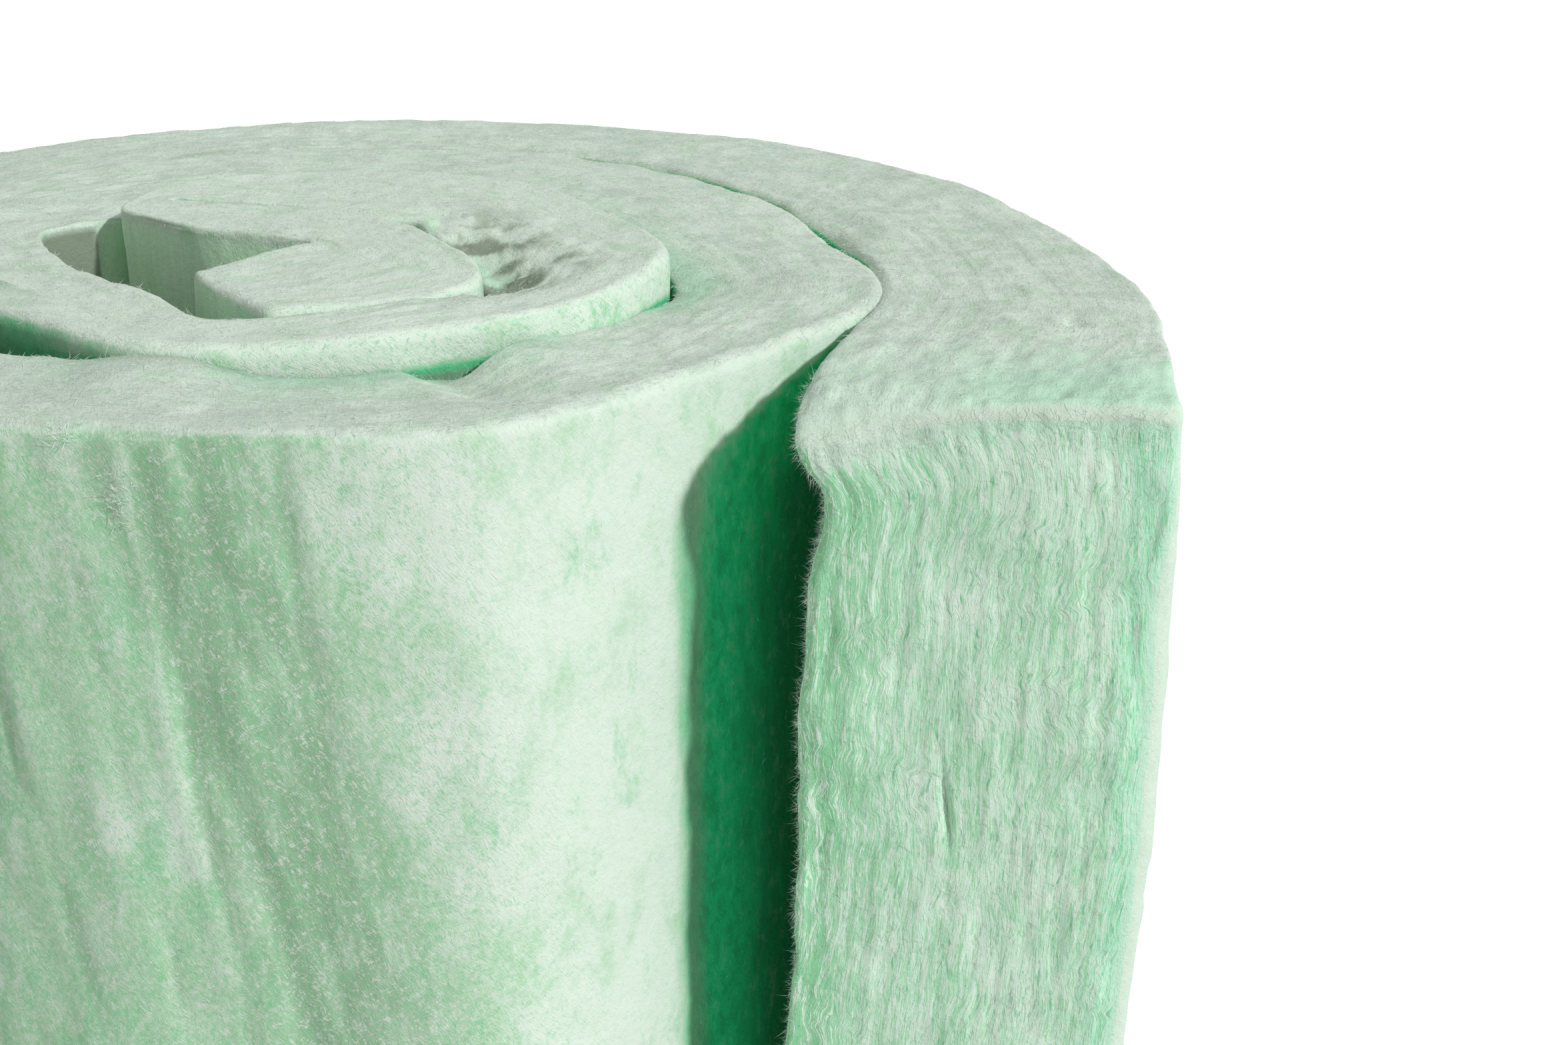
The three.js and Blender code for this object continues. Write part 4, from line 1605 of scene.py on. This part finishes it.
# %% Places on a grid
def scattered(grid, count, rng, weight=1.0):
    """Random places on a grid of points, evenly by area times a weight, with the grid's directions there:
    the unit steps down the first and the second index, and the outward normal."""
    step_i = grid[1:, :-1] - grid[:-1, :-1]
    step_j = grid[:-1, 1:] - grid[:-1, :-1]
    turned = np.cross(step_j, step_i)
    area = np.linalg.norm(turned, axis=-1)
    share = np.cumsum((area * weight).ravel())
    picked = np.searchsorted(share, rng.random(count) * share[-1])
    i, j = np.unravel_index(picked, area.shape)
    across, up = rng.random((2, count, 1))
    place = grid[i, j] + across * step_i[i, j] + up * step_j[i, j]
    directions = (vectors[i, j] for vectors in (step_i, step_j, turned))
    units = (d / np.maximum(np.linalg.norm(d, axis=1), 1e-12)[:, None] for d in directions)
    return place, *units


rooted = 0.0002  # how far a fibre's foot is in the surface


def fibres_on(grid, count, rng, kind, weight=1.0):
    """Fibres of a kind on a grid: each heads at an angle from the first index towards the second, within a
    spread, and lifts off the surface by a share of its length."""
    place, step_i, step_j, normal = scattered(grid, count, rng, weight)
    angle = (kind["heading"] + rng.normal(0, kind["spread"], count))[:, None]
    flat = np.cos(angle) * step_i + np.sin(angle) * step_j
    along = flat + rng.uniform(*kind["lift"], (count, 1)) * normal
    along /= np.linalg.norm(along, axis=1)[:, None]
    length = rng.uniform(*kind["length"], count)
    bend = rng.normal(0, kind["curl"], (count, 3)) * length[:, None]
    thickness = rng.uniform(*kind["thickness"], count)
    return spindles(place - rooted * normal, along, length, thickness, bend, kind["rings"])


def joined(*parts):
    """Several sets of points and face groups as one."""
    points, groups, start = [], [], 0
    for part_points, part_groups in parts:
        points.append(part_points)
        groups += [group + start for group in part_groups]
        start += len(part_points)
    return np.concatenate(points), groups


# %% Finish of a single fibre
clear_fibre = (0.92, 0.96, 0.93, 1)
greener_fibre = (0.76, 0.88, 0.79, 1)


def fibre_finish():
    """A clear, slightly glossy fibre, paler here and greener there."""
    material = new_material("loose_fibre")
    n = Nodes(material)
    place = n.add("ShaderNodeTexCoord").outputs["Object"]
    tint = n.noise(place, (0.006, 0.006, 0.006), detail=1.0)
    surface = n.add("ShaderNodeBsdfPrincipled")
    surface.inputs["Roughness"].default_value = 0.55
    surface.inputs["Specular IOR Level"].default_value = 0.5
    colour = n.blend(n.between(tint, 0.42, 0.62), clear_fibre, greener_fibre)
    n.links.new(colour, surface.inputs["Base Color"])
    output = n.add("ShaderNodeOutputMaterial")
    n.links.new(surface.outputs[0], output.inputs["Surface"])
    return material


loose_fibre = fibre_finish()


def loose_piece(name, *parts):
    """Fibres as one piece that rides with the roll."""
    points, groups = joined(*parts)
    piece, _ = mesh_object(name, points, *groups)
    piece.data.materials.append(loose_fibre)
    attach(piece, "root")
    print(name, "triangles:", len(piece.data.loops) - 2 * len(piece.data.polygons))
    return piece


# %% Kinds of fibre
def fibre_kind(length, thickness, heading, spread, lift, rings=1, curl=0.25):
    """A kind of fibre: its length and thickness from and to, in metres, the way it heads and the spread
    about that, in radians, how much it lifts off, its rings of points, and how much it curls."""
    return {
        "length": length, "thickness": thickness, "heading": heading, "spread": spread, "lift": lift,
        "rings": rings, "curl": curl,
    }  # fmt: skip


fine_fibre = (0.00008, 0.00014)  # thickness, m
finest_fibre = (0.00006, 0.00010)
coarse_lint = (0.00012, 0.0002)
any_way = 1.2  # a spread so wide that no direction stands out
lying_on_top = fibre_kind((0.0012, 0.0042), fine_fibre, 0.0, any_way, (0.0, 0.22))
out_of_seam = fibre_kind((0.0010, 0.0030), finest_fibre, 1.57, 0.6, (0.0, 0.5), rings=2, curl=0.40)
down_the_wall = fibre_kind((0.0012, 0.0040), finest_fibre, 1.05, 0.50, (0.0, 0.14))
lint_tuft = fibre_kind((0.0010, 0.0028), coarse_lint, 1.2, any_way, (0.0, 0.3), rings=2, curl=0.5)
along_layers = fibre_kind((0.0015, 0.0060), fine_fibre, 0.0, 0.25, (0.0, 0.22))
off_the_side = fibre_kind((0.0008, 0.0026), finest_fibre, 1.57, 0.8, (0.0, 0.8), rings=2, curl=0.45)
off_the_top = fibre_kind((0.0010, 0.0030), finest_fibre, 0.3, 0.9, (0.0, 0.7), rings=2, curl=0.40)
fringe = fibre_kind((0.0008, 0.0028), finest_fibre, 0.0, any_way, (0.3, 1.4), curl=0.45)
longest, finest = along_layers["length"][1], finest_fibre[0]
print("longest fibre, mm:", round(1000 * longest, 1), " finest, mm:", round(1000 * finest, 2))

# %% Where they grow
top_grid = skin[:, first_top_row : first_inner_row + 1]
seam_grid = skin[:, first_inner_row - 6 : first_inner_row + 2]
wall_grid = skin[first_visible:, : first_top_row + 1]
inner_end_grid = skin[-16:, first_inner_row : first_bottom_row + 1]
at_seams = ((station_length[:-1] > 0.78) & (to_end[:-1] > 0.06))[:, None] * 1.0
at_lint = lint[first_visible:-1, :first_top_row]
at_inner_side = np.zeros((face_rows, top_rows))
at_inner_side[:, -5:] = 1
at_top = np.zeros((face_rows, top_rows))
at_top[-7:] = 1
thicker_upwards = 0.3 + smoothstep(height[-16:-1, first_inner_row:first_bottom_row], 0.2, 0.5)
grids = top_grid, seam_grid, wall_grid, inner_end_grid
print("places in the grids:", [grid[..., 0].size for grid in grids])

# %% Scatter them
rng = np.random.default_rng(71)
loose_piece(
    "loose_fibres_top",
    fibres_on(top_grid, 26500, rng, lying_on_top),
    fibres_on(seam_grid, 2600, rng, out_of_seam, at_seams),
)
loose_piece(
    "loose_fibres_side",
    fibres_on(wall_grid, 31000, rng, down_the_wall),
    fibres_on(wall_grid, 240, rng, lint_tuft, at_lint),
)
loose_piece(
    "loose_fibres_end",
    fibres_on(end_points, 14000, rng, along_layers),
    fibres_on(end_points, 1600, rng, off_the_side, at_inner_side),
    fibres_on(end_points, 1000, rng, off_the_top, at_top),
    fibres_on(inner_end_grid, 12000, rng, fringe, thicker_upwards),
)
